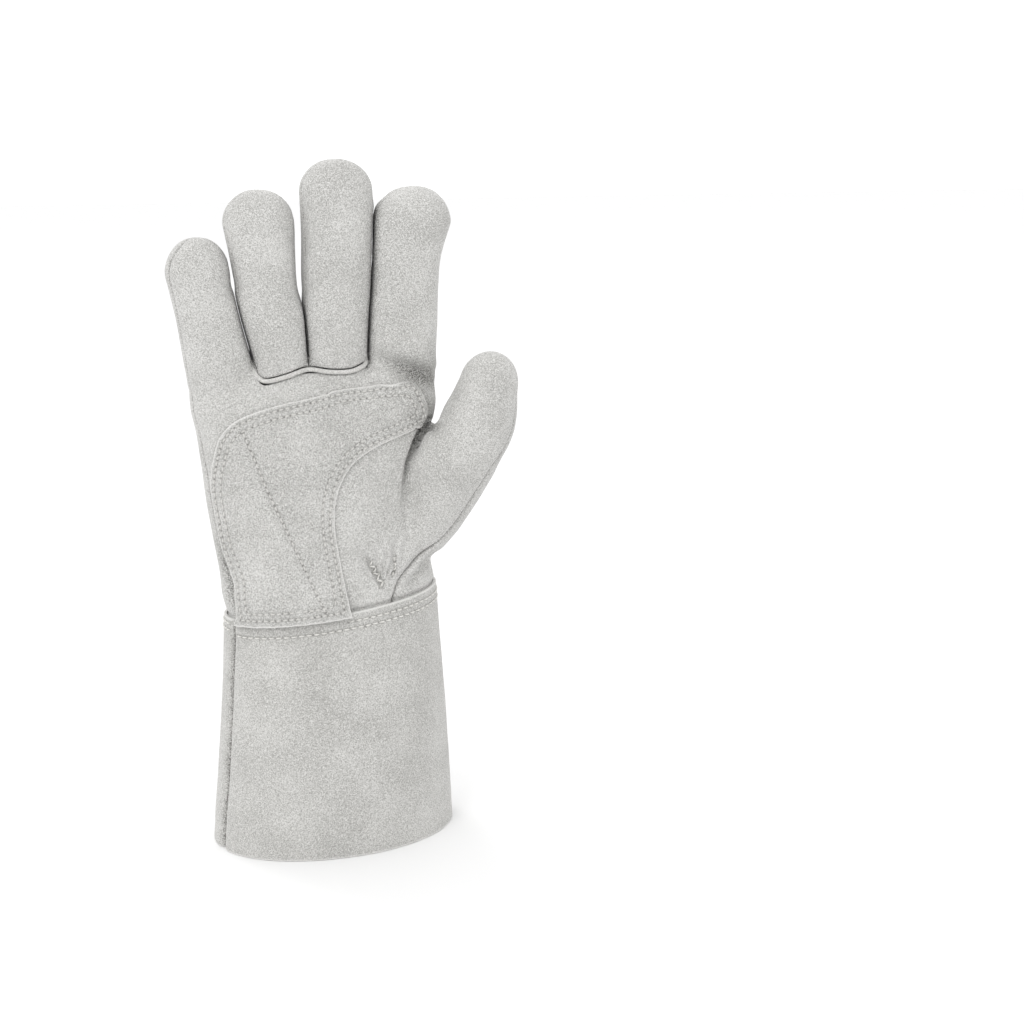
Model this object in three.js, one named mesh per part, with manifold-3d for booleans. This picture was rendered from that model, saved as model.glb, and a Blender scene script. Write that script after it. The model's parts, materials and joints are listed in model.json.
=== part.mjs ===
// Gauntlet welding glove for the right hand, sewn from split leather, standing on the rim of its cuff.
// The hand is a hollow leather shell, cut along its seams into panels: one back, a palm with the fronts of
// the little and index fingers, two separate finger fronts, three fourchettes and a thumb in two parts.
// A patch and a welt lie on the palm, and a cuff in two panels laps over the wrist.
// Millimetres. +X is the thumb side, -Y is the side that the palm faces, +Z is up.

import * as THREE from "three";
import { mergeVertices } from "three/addons/utils/BufferGeometryUtils.js";
import Module from "manifold-3d";

const wasm = await Module();
wasm.setup();

// Driving dimensions
const HAND_WALL = 1.4;
const CUFF_WALL = 1.6;
const PATCH_WALL = 1.3;
const WELT_PROUD = 1.3;
const WELT_WIDTH = 2.0;
const WELT_BACK = -8;
const SEAM_GAP = 0.3;
const HAND_LOWER_EDGE = 112;
const CUFF_TOP = 126.6;
const CUFF_TOP_SLOPE = 0.09;
const CUFF_BELOW = -20;
const CROTCH_START = 226;
const CROTCH_HEIGHT = 252;
const CROTCH_SLOPE = 0.3;
const PATCH_LAP = 2;
const PATCH_SIDE_INSET = 1.6;
const THUMB_SEAM_COVER = 6;
const RING_SIDES = { hand: 28, cuff: 28, finger: 14, thumb: 16 };
const INSIDE_SIDES = { hand: 20, cuff: 28, finger: 10, thumb: 12 };
const DOME_STEPS = 3;
const DOME_END = 0.97;
const TIP_LEAN = 0.05;
const RING_STEP = { hand: 13, cuff: 20, finger: 17 };
const SHEET_STEP = 12;
const FAR = 120;

// Turns rows of numbers into objects with named columns.
function table(columns, rows) {
  return rows.map((row) => Object.fromEntries(columns.map((name, i) => [name, row[i]])));
}

// Sections: height, centre x and y, half width, depth towards the palm and towards the back,
// turn about the upright in degrees, and squareness, where 2 is an ellipse.
const SECTION = ["z", "x", "y", "wide", "front", "back", "turn", "square"];

const CUFF = table(SECTION, [
  [0, -0.1, -2.8, 64.6, 45.6, 37.0, 10, 2.05],
  [42, 0.9, -1.8, 61.8, 43.4, 35.0, 10, 2.05],
  [84, 1.4, -0.8, 58.9, 40.8, 33.0, 10, 2.1],
  [112, 1.3, 0.0, 56.9, 38.4, 31.4, 10, 2.15],
  [140, 1.0, 0.0, 55.4, 36.4, 29.8, 10, 2.2],
]);

const HAND = table(SECTION, [
  [84, 1.8, -0.8, 56.2, 38.6, 30.8, 10, 2.1],
  [112, 1.5, 0.0, 54.4, 36.2, 29.2, 10, 2.15],
  [130, 1.0, 0.0, 53.4, 34.8, 28.2, 10, 2.2],
  [143, -2.3, 0.0, 54.2, 32.2, 27.4, 7, 2.3],
  [160, -2.8, 0.0, 55.3, 29.0, 26.0, 4, 2.4],
  [180, -3.4, 0.0, 56.5, 26.8, 24.8, 1, 2.5],
  [200, -4.2, 0.0, 57.9, 25.6, 23.6, 0, 2.6],
  [216, -5.2, 0.0, 59.8, 24.0, 22.0, 0, 2.7],
  [230, -5.6, 0.0, 61.8, 21.0, 19.4, 0, 2.8],
  [242, -5.2, 0.0, 61.8, 16.2, 15.6, 0, 2.8],
  [252, -5.0, 0.0, 59.0, 11.0, 11.0, 0, 2.8],
]);

const LITTLE_FINGER = table(SECTION, [
  [222, -47.0, 0.6, 17.4, 13.6, 13.6, 0, 2.1],
  [238, -50.2, 0.0, 17.6, 14.4, 14.0, 0, 2.1],
  [254, -53.2, -1.4, 16.6, 14.4, 14.2, 0, 2.1],
  [270, -56.5, -2.6, 15.4, 14.0, 14.0, 0, 2.1],
  [286, -59.7, -3.8, 15.1, 13.8, 13.8, 0, 2.1],
  [295, -60.7, -4.4, 16.5, 13.8, 13.6, 0, 2.1],
]);
const RING_FINGER = table(SECTION, [
  [224, -18.6, 1.0, 12.0, 14.6, 14.6, 0, 2.1],
  [242, -21.0, 0.0, 11.9, 15.6, 15.0, 0, 2.1],
  [258, -23.2, -1.6, 13.8, 15.6, 15.2, 0, 2.1],
  [274, -25.5, -2.9, 15.0, 15.4, 15.0, 0, 2.1],
  [290, -28.0, -4.2, 15.1, 15.0, 14.8, 0, 2.1],
  [306, -29.6, -5.3, 16.4, 14.8, 14.6, 0, 2.1],
  [319, -30.8, -6.2, 17.8, 14.8, 14.6, 0, 2.1],
]);
const MIDDLE_FINGER = table(SECTION, [
  [224, 7.2, 1.0, 14.0, 15.0, 15.0, 0, 2.1],
  [242, 7.0, 0.0, 14.0, 16.2, 15.6, 0, 2.1],
  [258, 6.6, -1.6, 14.3, 16.2, 15.8, 0, 2.1],
  [274, 6.6, -3.1, 15.2, 16.0, 15.8, 0, 2.1],
  [290, 6.6, -4.6, 16.6, 15.6, 15.4, 0, 2.1],
  [312, 7.2, -6.6, 17.2, 15.4, 15.2, 0, 2.1],
  [334, 7.3, -8.4, 18.4, 15.2, 15.0, 0, 2.1],
]);
const INDEX_FINGER = table(SECTION, [
  [218, 37.6, 1.0, 16.8, 15.6, 15.6, 0, 2.1],
  [234, 39.4, 0.4, 17.8, 17.6, 15.6, 0, 2.1],
  [246, 39.6, -1.4, 17.4, 13.8, 15.4, 0, 2.1],
  [258, 39.6, -3.6, 17.0, 15.6, 15.2, 0, 2.1],
  [274, 40.2, -5.6, 16.8, 15.8, 15.2, 0, 2.1],
  [290, 41.0, -7.6, 16.3, 15.4, 15.0, 0, 2.1],
  [304, 42.0, -9.2, 16.9, 15.2, 15.0, 0, 2.1],
  [319, 44.5, -11.0, 19.0, 15.2, 15.0, 0, 2.1],
]);

// Fingers from the little one to the index: their sections, and the height of the round tip above them.
const FINGERS = [
  { name: "little", rows: LITTLE_FINGER, tip: 18 },
  { name: "ring", rows: RING_FINGER, tip: 16.8 },
  { name: "middle", rows: MIDDLE_FINGER, tip: 16 },
  { name: "index", rows: INDEX_FINGER, tip: 17.9 },
];

// Thumb sections, square to its curved axis: a point of the axis, half width and half depth, and how far
// the seam between its two parts is turned about the axis from its outer side to the palm, in degrees.
const THUMB = table(["x", "y", "z", "wide", "deep", "seam"], [
  [24.0, 4.0, 132.0, 7.0, 12.0, 60],
  [38.6, 1.0, 151.0, 15.2, 18.0, 60],
  [53.0, -5.0, 172.0, 18.6, 19.5, 52],
  [65.2, -14.0, 200.0, 21.3, 19.5, 40],
  [75.6, -19.0, 219.5, 18.8, 17.6, 26],
  [80.1, -23.4, 239.0, 14.3, 14.8, 20],
]);
const THUMB_TIP = 17;

// Side seam of the hand between palm and back: y is the lean times x, so that it turns with the wrist.
const SIDE_SEAM = table(["z", "lean"], [
  [90, 0.42],
  [126, 0.4],
  [142, 0.22],
  [165, 0.13],
  [190, 0.09],
  [240, 0.085],
]);
const CUFF_SEAM_TURN = 23;

// Seams of the fourchettes, as y from a finger's middle, and how far below the tip they run to a point.
const FOURCHETTE_FRONT = -6;
const FOURCHETTE_BACK = 10.5;
const FOURCHETTE_POINT = 12;
const FOURCHETTE_TAPER = 52;

// The finger seams lean with the hand, and take over from its side seam between two heights.
const FINGER_SEAM_LEAN = 0.085;
const FINGER_SEAM_START = 228;
const FINGER_SEAM_FULL = 240;

// The back panel ends at the root of the thumb: its seam turns outwards from this x, below these heights.
const THUMB_ROOT_X = 51;
const THUMB_ROOT_STEEP = 12;
const THUMB_ROOT_LOW = 219;
const THUMB_ROOT_HIGH = 226;

// Heights at which the seam surfaces and the slits between the fingers are laid out.
const SLIT_HEIGHTS = [256, 275, 294, 310, 325, 339, 365];
const SHEET_LEVELS = [-30, 110, 126, 142, 165, 190, 212, 219, 226, 233, 241, ...SLIT_HEIGHTS, 380];

// Outlines on the palm, seen from the front.
const XZ = ["x", "z"];
const BASE_SEAM = table(XZ, [
  [-36.0, 246.6],
  [-31.4, 243.4],
  [-21.3, 244.6],
  [-9.8, 247.2],
  [2.0, 246.2],
  [12.0, 246.2],
  [19.6, 248.6],
]);
const PATCH_TOP = table(XZ, [
  [-66.0, 200.0],
  [-60.2, 208.5],
  [-54.7, 217.6],
  [-46.9, 224.3],
  [-38.1, 227.7],
  [-25.8, 230.9],
  [-12.0, 233.4],
  [4.9, 236.9],
  [22.0, 238.2],
  [39.5, 239.2],
  [46.3, 234.6],
  [50.3, 227.0],
  [51.2, 220.7],
]);
const PATCH_THUMB_CURVE = table(XZ, [
  [48.6, 215.2],
  [35.3, 213.3],
  [20.6, 207.7],
  [10.9, 201.0],
  [4.8, 192.0],
  [1.5, 181.5],
  [0.8, 169.0],
  [2.5, 154.0],
  [4.8, 138.0],
  [7.2, 121.0],
]);
const THUMB_WEB = table(XZ, [
  [140, 90],
  [140, 300],
  [58.2, 300],
  [58.2, 229],
  [54.5, 222],
]);

// Numbers of a section table at any height, on smooth curves through its rows.
function sectionAt(rows, z) {
  const last = rows.length - 1;
  let i = 0;
  while (i < last - 1 && z > rows[i + 1].z) i += 1;
  const a = rows[i];
  const b = rows[i + 1];
  const span = b.z - a.z;
  const t = (z - a.z) / span;
  const out = {};
  for (const name of Object.keys(a)) {
    const before = rows[Math.max(i - 1, 0)];
    const after = rows[Math.min(i + 2, last)];
    const slopeA = (b[name] - before[name]) / (b.z - before.z);
    const slopeB = (after[name] - a[name]) / (after.z - a.z);
    const curved = (2 * t ** 3 - 3 * t ** 2 + 1) * a[name] + (t ** 3 - 2 * t ** 2 + t) * span * slopeA
      + (-2 * t ** 3 + 3 * t ** 2) * b[name] + (t ** 3 - t ** 2) * span * slopeB;
    out[name] = t < 0 ? a[name] + (z - a.z) * slopeA : curved;
  }
  return out;
}

// One closed ring of points round an upright tube, grown outwards by grow.
function ring(section, grow, sides, scale = 1, slope = 0) {
  const turn = THREE.MathUtils.degToRad(section.turn);
  const power = 2 / section.square;
  const points = [];
  for (let i = 0; i < sides; i += 1) {
    const angle = (i / sides) * 2 * Math.PI;
    const c = Math.cos(angle);
    const s = Math.sin(angle);
    const deep = s < 0 ? section.front : section.back;
    const u = (section.wide + grow) * Math.sign(c) * Math.abs(c) ** power * scale;
    const v = (deep + grow) * Math.sign(s) * Math.abs(s) ** power * scale;
    const x = section.x + u * Math.cos(turn) - v * Math.sin(turn);
    const y = section.y + u * Math.sin(turn) + v * Math.cos(turn);
    points.push(new THREE.Vector3(x, y, section.z + slope * v));
  }
  return points;
}

function middleOf(points) {
  return points.reduce((sum, p) => sum.add(p), new THREE.Vector3()).divideScalar(points.length);
}

// A closed mesh through a stack of rings, with both ends filled by fans, as a solid.
function loft(rings) {
  const sides = rings[0].length;
  const points = rings.flat();
  const index = [];
  for (let r = 0; r < rings.length - 1; r += 1) {
    for (let i = 0; i < sides; i += 1) {
      const a = r * sides + i;
      const b = r * sides + ((i + 1) % sides);
      index.push(a, b, b + sides, a, b + sides, a + sides);
    }
  }
  const bottom = points.push(middleOf(rings[0])) - 1;
  const top = points.push(middleOf(rings.at(-1))) - 1;
  const lastRing = (rings.length - 1) * sides;
  for (let i = 0; i < sides; i += 1) {
    const next = (i + 1) % sides;
    index.push(bottom, next, i, top, lastRing + i, lastRing + next);
  }
  const geometry = new THREE.BufferGeometry().setFromPoints(points);
  geometry.setIndex(index);
  return solid(geometry);
}

// A closed geometry as a solid that can be joined and cut.
function solid(geometry) {
  const bare = geometry.clone();
  bare.deleteAttribute("normal");
  bare.deleteAttribute("uv");
  const merged = mergeVertices(bare, 1e-4);
  const mesh = new wasm.Mesh({
    numProp: 3,
    vertProperties: new Float32Array(merged.attributes.position.array),
    triVerts: new Uint32Array(merged.index.array),
  });
  return new wasm.Manifold(mesh);
}

// The inside of the leather has fewer sides than the outside.
function sidesOf(tube, grow) {
  return grow < 0 ? INSIDE_SIDES[tube] : RING_SIDES[tube];
}

// Heights from the first to the last row of a table, about step apart.
function heights(from, to, step) {
  const count = Math.max(1, Math.round((to - from) / step));
  return Array.from({ length: count + 1 }, (_, i) => from + ((to - from) * i) / count);
}

// The rounded end of a tube: shares of its width and of its height, from the last section to the tip.
function domeShares() {
  return Array.from({ length: DOME_STEPS }, (_, i) => {
    const angle = ((i + 1) / DOME_STEPS) * (Math.PI / 2) * DOME_END;
    return { width: Math.cos(angle), height: Math.sin(angle) };
  });
}

function fingerSolid(finger, grow) {
  const { rows, tip } = finger;
  const base = rows.at(-1);
  const sides = sidesOf("finger", grow);
  const levels = heights(rows[0].z, base.z, RING_STEP.finger);
  const rings = levels.map((z) => ring(sectionAt(rows, z), grow, sides));
  for (const share of domeShares()) {
    const z = base.z + (tip + grow) * share.height;
    const y = base.y - TIP_LEAN * (z - base.z);
    rings.push(ring({ ...base, z, y }, grow, sides, share.width));
  }
  return loft(rings);
}

// The palm and back of the hand, closed by a sloping top between the fingers.
function handSolid(grow) {
  const rings = heights(HAND[0].z, CROTCH_HEIGHT, RING_STEP.hand).map((z) => {
    const rise = THREE.MathUtils.smoothstep(z, CROTCH_START, CROTCH_HEIGHT);
    const section = sectionAt(HAND, z + Math.min(grow, 0) * rise);
    return ring(section, grow, sidesOf("hand", grow), 1, CROTCH_SLOPE * rise);
  });
  return loft(rings);
}

function cuffSolid(grow) {
  const levels = heights(CUFF_BELOW, CUFF.at(-1).z, RING_STEP.cuff);
  return loft(levels.map((z) => ring(sectionAt(CUFF, z), grow, sidesOf("cuff", grow))));
}

// Point, direction and local axes of the thumb at one row of its table.
function thumbFrame(i) {
  const at = (k) => new THREE.Vector3(THUMB[k].x, THUMB[k].y, THUMB[k].z);
  const before = at(Math.max(i - 1, 0));
  const after = at(Math.min(i + 1, THUMB.length - 1));
  const along = after.sub(before).normalize();
  const outer = new THREE.Vector3(along.z, 0, -along.x).normalize();
  const back = new THREE.Vector3().crossVectors(along, outer).normalize();
  return { point: at(i), along, outer, back };
}

function thumbRing(frame, sides, wide, deep, forward = 0) {
  const points = [];
  for (let i = 0; i < sides; i += 1) {
    const angle = (i / sides) * 2 * Math.PI;
    const point = frame.point.clone().addScaledVector(frame.along, forward);
    point.addScaledVector(frame.outer, wide * Math.cos(angle));
    points.push(point.addScaledVector(frame.back, deep * Math.sin(angle)));
  }
  return points;
}

function thumbSolid(grow) {
  const sides = sidesOf("thumb", grow);
  const rings = THUMB.map((row, i) => {
    return thumbRing(thumbFrame(i), sides, row.wide + grow, row.deep + grow);
  });
  const end = THUMB.at(-1);
  const frame = thumbFrame(THUMB.length - 1);
  for (const share of domeShares()) {
    const wide = (end.wide + grow) * share.width;
    const deep = (end.deep + grow) * share.width;
    rings.push(thumbRing(frame, sides, wide, deep, (THUMB_TIP + grow) * share.height));
  }
  return loft(rings);
}

// The whole hand with fingers and thumb, grown outwards by grow.
function gloveBody(grow) {
  let body = handSolid(grow).add(thumbSolid(grow));
  for (const finger of FINGERS) body = body.add(fingerSolid(finger, grow));
  return body;
}

// A solid with an outline in x and z, reaching through y.
function prism(outline, from = -FAR, to = FAR) {
  const shape = new THREE.Shape(outline.map((p) => new THREE.Vector2(p.x, p.z)));
  const geometry = new THREE.ExtrudeGeometry(shape, { depth: to - from, bevelEnabled: false });
  geometry.rotateX(Math.PI / 2);
  geometry.translate(0, to, 0);
  return solid(geometry);
}

// A slab between the surface y = depth(x, z) and a flat face at the given y.
function slab(depth, face) {
  const xs = heights(-90, 120, SHEET_STEP);
  const zs = SHEET_LEVELS;
  const points = [];
  for (const z of zs) {
    for (const x of xs) {
      const y = THREE.MathUtils.clamp(depth(x, z), 10 - FAR, FAR - 10);
      points.push(new THREE.Vector3(x, y, z));
    }
  }
  const count = points.length;
  for (let i = 0; i < count; i += 1) points.push(points[i].clone().setY(face));
  const index = [];
  const quad = (a, b, c, d) => index.push(a, b, c, a, c, d);
  const at = (i, j) => j * xs.length + i;
  for (let j = 0; j < zs.length - 1; j += 1) {
    for (let i = 0; i < xs.length - 1; i += 1) {
      quad(at(i, j), at(i, j + 1), at(i + 1, j + 1), at(i + 1, j));
      quad(count + at(i, j), count + at(i + 1, j), count + at(i + 1, j + 1), count + at(i, j + 1));
    }
  }
  const right = xs.length - 1;
  const top = zs.length - 1;
  for (let i = 0; i < right; i += 1) {
    quad(at(i, 0), at(i + 1, 0), count + at(i + 1, 0), count + at(i, 0));
    quad(at(i + 1, top), at(i, top), count + at(i, top), count + at(i + 1, top));
  }
  for (let j = 0; j < top; j += 1) {
    quad(at(0, j + 1), at(0, j), count + at(0, j), count + at(0, j + 1));
    quad(at(right, j), at(right, j + 1), count + at(right, j + 1), count + at(right, j));
  }
  if (face > 0) index.reverse();
  const geometry = new THREE.BufferGeometry().setFromPoints(points);
  geometry.setIndex(index);
  return solid(geometry);
}

// Smooth curve through the points of an outline.
function curve(outline, count) {
  const spline = new THREE.CatmullRomCurve3(outline.map((p) => new THREE.Vector3(p.x, 0, p.z)));
  return spline.getPoints(count).map((p) => ({ x: p.x, z: p.z }));
}

// An outline moved sideways, to the left of its direction.
function shifted(outline, distance) {
  return outline.map((p, i) => {
    const a = outline[Math.max(i - 1, 0)];
    const b = outline[Math.min(i + 1, outline.length - 1)];
    const length = Math.hypot(b.x - a.x, b.z - a.z);
    return { x: p.x - ((b.z - a.z) / length) * distance, z: p.z + ((b.x - a.x) / length) * distance };
  });
}

// x of the narrow slit to the right of a finger, at a height.
function slitX(i, z) {
  const left = sectionAt(FINGERS[i].rows, Math.min(z, FINGERS[i].rows.at(-1).z));
  const right = sectionAt(FINGERS[i + 1].rows, Math.min(z, FINGERS[i + 1].rows.at(-1).z));
  return (left.x + left.wide + right.x - right.wide) / 2;
}

function sideSeamY(x, z) {
  return sectionAt(SIDE_SEAM, Math.max(z, SIDE_SEAM[0].z)).lean * x;
}

// Depth of the seam in front of or behind the fourchettes, over the whole width of the hand.
function fingerSeamY(x, z, towardsBack) {
  let i = 0;
  while (i < FINGERS.length - 1 && x > slitX(i, z)) i += 1;
  const { rows, tip } = FINGERS[i];
  const section = sectionAt(rows, Math.min(z, rows.at(-1).z));
  const side = (x - section.x) / section.wide;
  const outer = (i === 0 && side < 0) || (i === FINGERS.length - 1 && side > 0);
  const pointZ = rows.at(-1).z + tip - FOURCHETTE_POINT;
  const width = THREE.MathUtils.clamp((pointZ - z) / FOURCHETTE_TAPER, 0, 1) ** 0.6;
  const share = THREE.MathUtils.smoothstep(Math.abs(side), 0.1, 0.6);
  if (outer) return section.y + FINGER_SEAM_LEAN * x * share;
  const front = FOURCHETTE_FRONT * Math.min(1, width + 0.4);
  return section.y + share * (towardsBack ? front + (FOURCHETTE_BACK - front) * width : front);
}

// The side seam of the hand below, the seams of the fingers above.
function handSeamY(x, z, towardsBack) {
  const blend = THREE.MathUtils.smoothstep(z, FINGER_SEAM_START, FINGER_SEAM_FULL);
  if (blend === 0) return sideSeamY(x, z);
  return sideSeamY(x, z) * (1 - blend) + fingerSeamY(x, z, towardsBack) * blend;
}

const frontSeamY = (x, z) => handSeamY(x, z, false);

function backSeamY(x, z) {
  const below = 1 - THREE.MathUtils.smoothstep(z, THUMB_ROOT_LOW, THUMB_ROOT_HIGH);
  return handSeamY(x, z, true) + below * Math.max(0, x - THUMB_ROOT_X) * THUMB_ROOT_STEEP;
}

// Depth of the seam between the two parts of the thumb.
function thumbSeamY(x, z) {
  let best = null;
  const steps = 40;
  for (let k = 0; k <= steps; k += 1) {
    const s = (k / steps) * (THUMB.length - 1);
    const i = Math.min(Math.floor(s), THUMB.length - 2);
    const mix = (name) => THREE.MathUtils.lerp(THUMB[i][name], THUMB[i + 1][name], s - i);
    const reach = Math.hypot(x - mix("x"), z - mix("z"));
    if (best === null || reach < best.reach) {
      const slope = Math.hypot(THUMB[i + 1].x - THUMB[i].x, THUMB[i + 1].z - THUMB[i].z);
      const outward = ((x - mix("x")) * (THUMB[i + 1].z - THUMB[i].z)
        - (z - mix("z")) * (THUMB[i + 1].x - THUMB[i].x)) / slope;
      best = { reach, y: mix("y"), outward, turn: THREE.MathUtils.degToRad(mix("seam")) };
    }
  }
  return best.y - best.outward * Math.tan(best.turn);
}

const halfGap = SEAM_GAP / 2;
const inFrontOf = (depth) => slab((x, z) => depth(x, z) - halfGap, -FAR);
const behind = (depth) => slab((x, z) => depth(x, z) + halfGap, FAR);

// Everything above the lower edge of the hand
const aboveEdge = prism(table(XZ, [
  [-150, HAND_LOWER_EDGE],
  [150, HAND_LOWER_EDGE],
  [150, 400],
  [-150, 400],
]));

// The thumb with its ball, seen from the front: its seam on the palm runs under the edge of the patch.
const thumbOpening = curve(shifted(PATCH_THUMB_CURVE, -THUMB_SEAM_COVER), 24);
const thumbOutline = [...THUMB_WEB, ...thumbOpening, { x: thumbOpening.at(-1).x, z: THUMB_WEB[0].z }];
const thumbZone = (grow) => prism(shiftedZone(thumbOutline, grow));

// Grows a closed outline by moving each point away from the outline's inside.
function shiftedZone(outline, grow) {
  return outline.map((p, i) => {
    const a = outline[(i - 1 + outline.length) % outline.length];
    const b = outline[(i + 1) % outline.length];
    const length = Math.hypot(b.x - a.x, b.z - a.z);
    return { x: p.x + ((b.z - a.z) / length) * grow, z: p.z - ((b.x - a.x) / length) * grow };
  });
}

const baseLine = curve(BASE_SEAM, 18);

// Band along the base seam on the palm side, wider by grow and as deep as y allows.
function baseBand(grow, y) {
  const half = WELT_WIDTH / 2 + grow;
  const ends = [baseLine[0], baseLine.at(-1)].map((p, i) => ({ x: p.x + (i ? grow : -grow), z: p.z }));
  const line = [ends[0], ...baseLine.slice(1, -1), ends[1]];
  const lower = line.map((p) => ({ x: p.x, z: p.z - half }));
  return prism([...lower, ...line.map((p) => ({ x: p.x, z: p.z + half })).reverse()], -FAR, y);
}

// Zone above the base seam between two slits, wider by grow.
function fingerZone(first, last, grow) {
  const sideLine = (i, way) => SLIT_HEIGHTS.map((z) => ({ x: slitX(i, z) + way * grow, z }));
  const leftSide = sideLine(first - 1, -1);
  const rightSide = sideLine(last, 1);
  const base = baseLine.filter((p) => p.x > leftSide[0].x + 1 && p.x < rightSide[0].x - 1);
  const corner = (side, p) => ({ x: side[0].x, z: p.z });
  const bottom = [corner(leftSide, base[0]), ...base, corner(rightSide, base.at(-1))];
  return prism([...bottom, ...rightSide, ...leftSide.reverse()]);
}

// Only the largest closed body of a cut is kept, without the slivers that a cut can leave.
function largest(cut) {
  return cut.decompose().reduce((big, body) => (body.volume() > big.volume() ? body : big));
}

// The leather shell of the hand
const shell = gloveBody(0).subtract(gloveBody(-HAND_WALL)).intersect(aboveEdge);
const fronts = shell.intersect(inFrontOf(frontSeamY)).subtract(baseBand(SEAM_GAP, 0));

const backPanel = largest(shell.intersect(behind(backSeamY)));
const palmPanel = largest(fronts.subtract(thumbZone(halfGap)).subtract(fingerZone(1, 2, halfGap)));
const ringFront = largest(fronts.intersect(fingerZone(1, 1, -halfGap)));
const middleFront = largest(fronts.intersect(fingerZone(2, 2, -halfGap)));
const thumbShell = shell.intersect(thumbZone(-halfGap)).intersect(inFrontOf(backSeamY));
const thumbFront = largest(thumbShell.intersect(inFrontOf(thumbSeamY)));
const thumbBack = largest(thumbShell.intersect(behind(thumbSeamY)));

// One strip in each crotch, between the front and the back of two fingers
const betweenSeams = shell.intersect(behind(frontSeamY)).intersect(inFrontOf(backSeamY));
function fourchette(i) {
  const middleLine = (rows) => [236, ...SLIT_HEIGHTS].map((z) => {
    return { x: sectionAt(rows, Math.min(z, rows.at(-1).z)).x, z };
  });
  const left = middleLine(FINGERS[i].rows).reverse();
  const right = middleLine(FINGERS[i + 1].rows);
  return largest(betweenSeams.intersect(prism([...right, ...left])));
}

// The welt stands proud of the base seam of the two middle fingers.
const weltShell = gloveBody(WELT_PROUD).subtract(gloveBody(-HAND_WALL));
const welt = largest(weltShell.intersect(baseBand(0, WELT_BACK)));

// The cuff, whose top edge slopes up to the thumb side
const cuffTop = (grow) => prism([
  { x: -FAR, z: 0 },
  { x: FAR, z: 0 },
  { x: FAR, z: CUFF_TOP + FAR * CUFF_TOP_SLOPE + grow },
  { x: -FAR, z: CUFF_TOP - FAR * CUFF_TOP_SLOPE + grow },
]);
const cuffShell = cuffSolid(0).subtract(cuffSolid(-CUFF_WALL)).intersect(cuffTop(0));
const cuffSeamLean = Math.tan(THREE.MathUtils.degToRad(CUFF_SEAM_TURN));
const cuffSeamY = (x) => cuffSeamLean * x;
const cuffPalm = largest(cuffShell.intersect(inFrontOf(cuffSeamY)));
const cuffBack = largest(cuffShell.intersect(behind(cuffSeamY)));

// The patch lies on the palm and laps over the top edge of the cuff.
const patchLevel = (grow) => gloveBody(grow).add(cuffSolid(grow).intersect(cuffTop(grow)));
const patchThumbSide = curve(PATCH_THUMB_CURVE, 26);
const patchBottomRight = patchThumbSide.at(-1).x;
const patchBottomZ = (x) => CUFF_TOP + CUFF_TOP_SLOPE * x - PATCH_LAP;
const patchOutline = [
  ...curve(PATCH_TOP, 30), ...patchThumbSide.filter((p) => p.z > patchBottomZ(p.x)),
  { x: patchBottomRight, z: patchBottomZ(patchBottomRight) }, { x: -70, z: patchBottomZ(-70) },
];
const patchReach = slab((x, z) => frontSeamY(x, z) - PATCH_SIDE_INSET, -120);
const patchLayer = patchLevel(SEAM_GAP + PATCH_WALL).subtract(patchLevel(SEAM_GAP));
const patch = largest(patchLayer.intersect(prism(patchOutline)).intersect(patchReach));

// Materials
function leather(name, color) {
  return new THREE.MeshStandardMaterial({ name, color, roughness: 0.95, metalness: 0 });
}
const splitLeather = leather("grey split leather", 0xcbcac6);
const patchLeather = leather("grey split leather, patch", 0xcdccc8);
const cuffLeather = leather("grey split leather, cuff", 0xc8c7c3);
const weltLeather = leather("light welt leather", 0xd8d6d0);

const pieces = [
  ["back_panel", backPanel, splitLeather],
  ["palm_panel", palmPanel, splitLeather],
  ["ring_finger_front", ringFront, splitLeather],
  ["middle_finger_front", middleFront, splitLeather],
  ["fourchette_ring_little", fourchette(0), splitLeather],
  ["fourchette_middle_ring", fourchette(1), splitLeather],
  ["fourchette_index_middle", fourchette(2), splitLeather],
  ["thumb_front", thumbFront, splitLeather],
  ["thumb_back", thumbBack, splitLeather],
  ["palm_patch", patch, patchLeather],
  ["finger_base_welt", welt, weltLeather],
  ["cuff_palm_panel", cuffPalm, cuffLeather],
  ["cuff_back_panel", cuffBack, cuffLeather],
];

const glove = new THREE.Group();
glove.name = "welding_glove";
for (const [name, body, material] of pieces) {
  const { vertProperties, triVerts } = body.getMesh();
  const geometry = new THREE.BufferGeometry();
  geometry.setAttribute("position", new THREE.BufferAttribute(vertProperties, 3));
  geometry.setIndex(new THREE.BufferAttribute(triVerts, 1));
  const mesh = new THREE.Mesh(geometry, material);
  mesh.name = name;
  glove.add(mesh);
}

// The origin is the middle of the glove's box, at the level of the rim.
const box = new THREE.Box3().setFromObject(glove);
const middle = box.getCenter(new THREE.Vector3());
glove.position.set(-middle.x, -middle.y, -box.min.z);
glove.updateMatrixWorld(true);

export default glove;
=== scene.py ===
import json
import math

import bmesh
import bpy
import numpy as np
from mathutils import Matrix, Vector, noise
from mathutils.bvhtree import BVHTree
from mathutils.kdtree import KDTree

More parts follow.
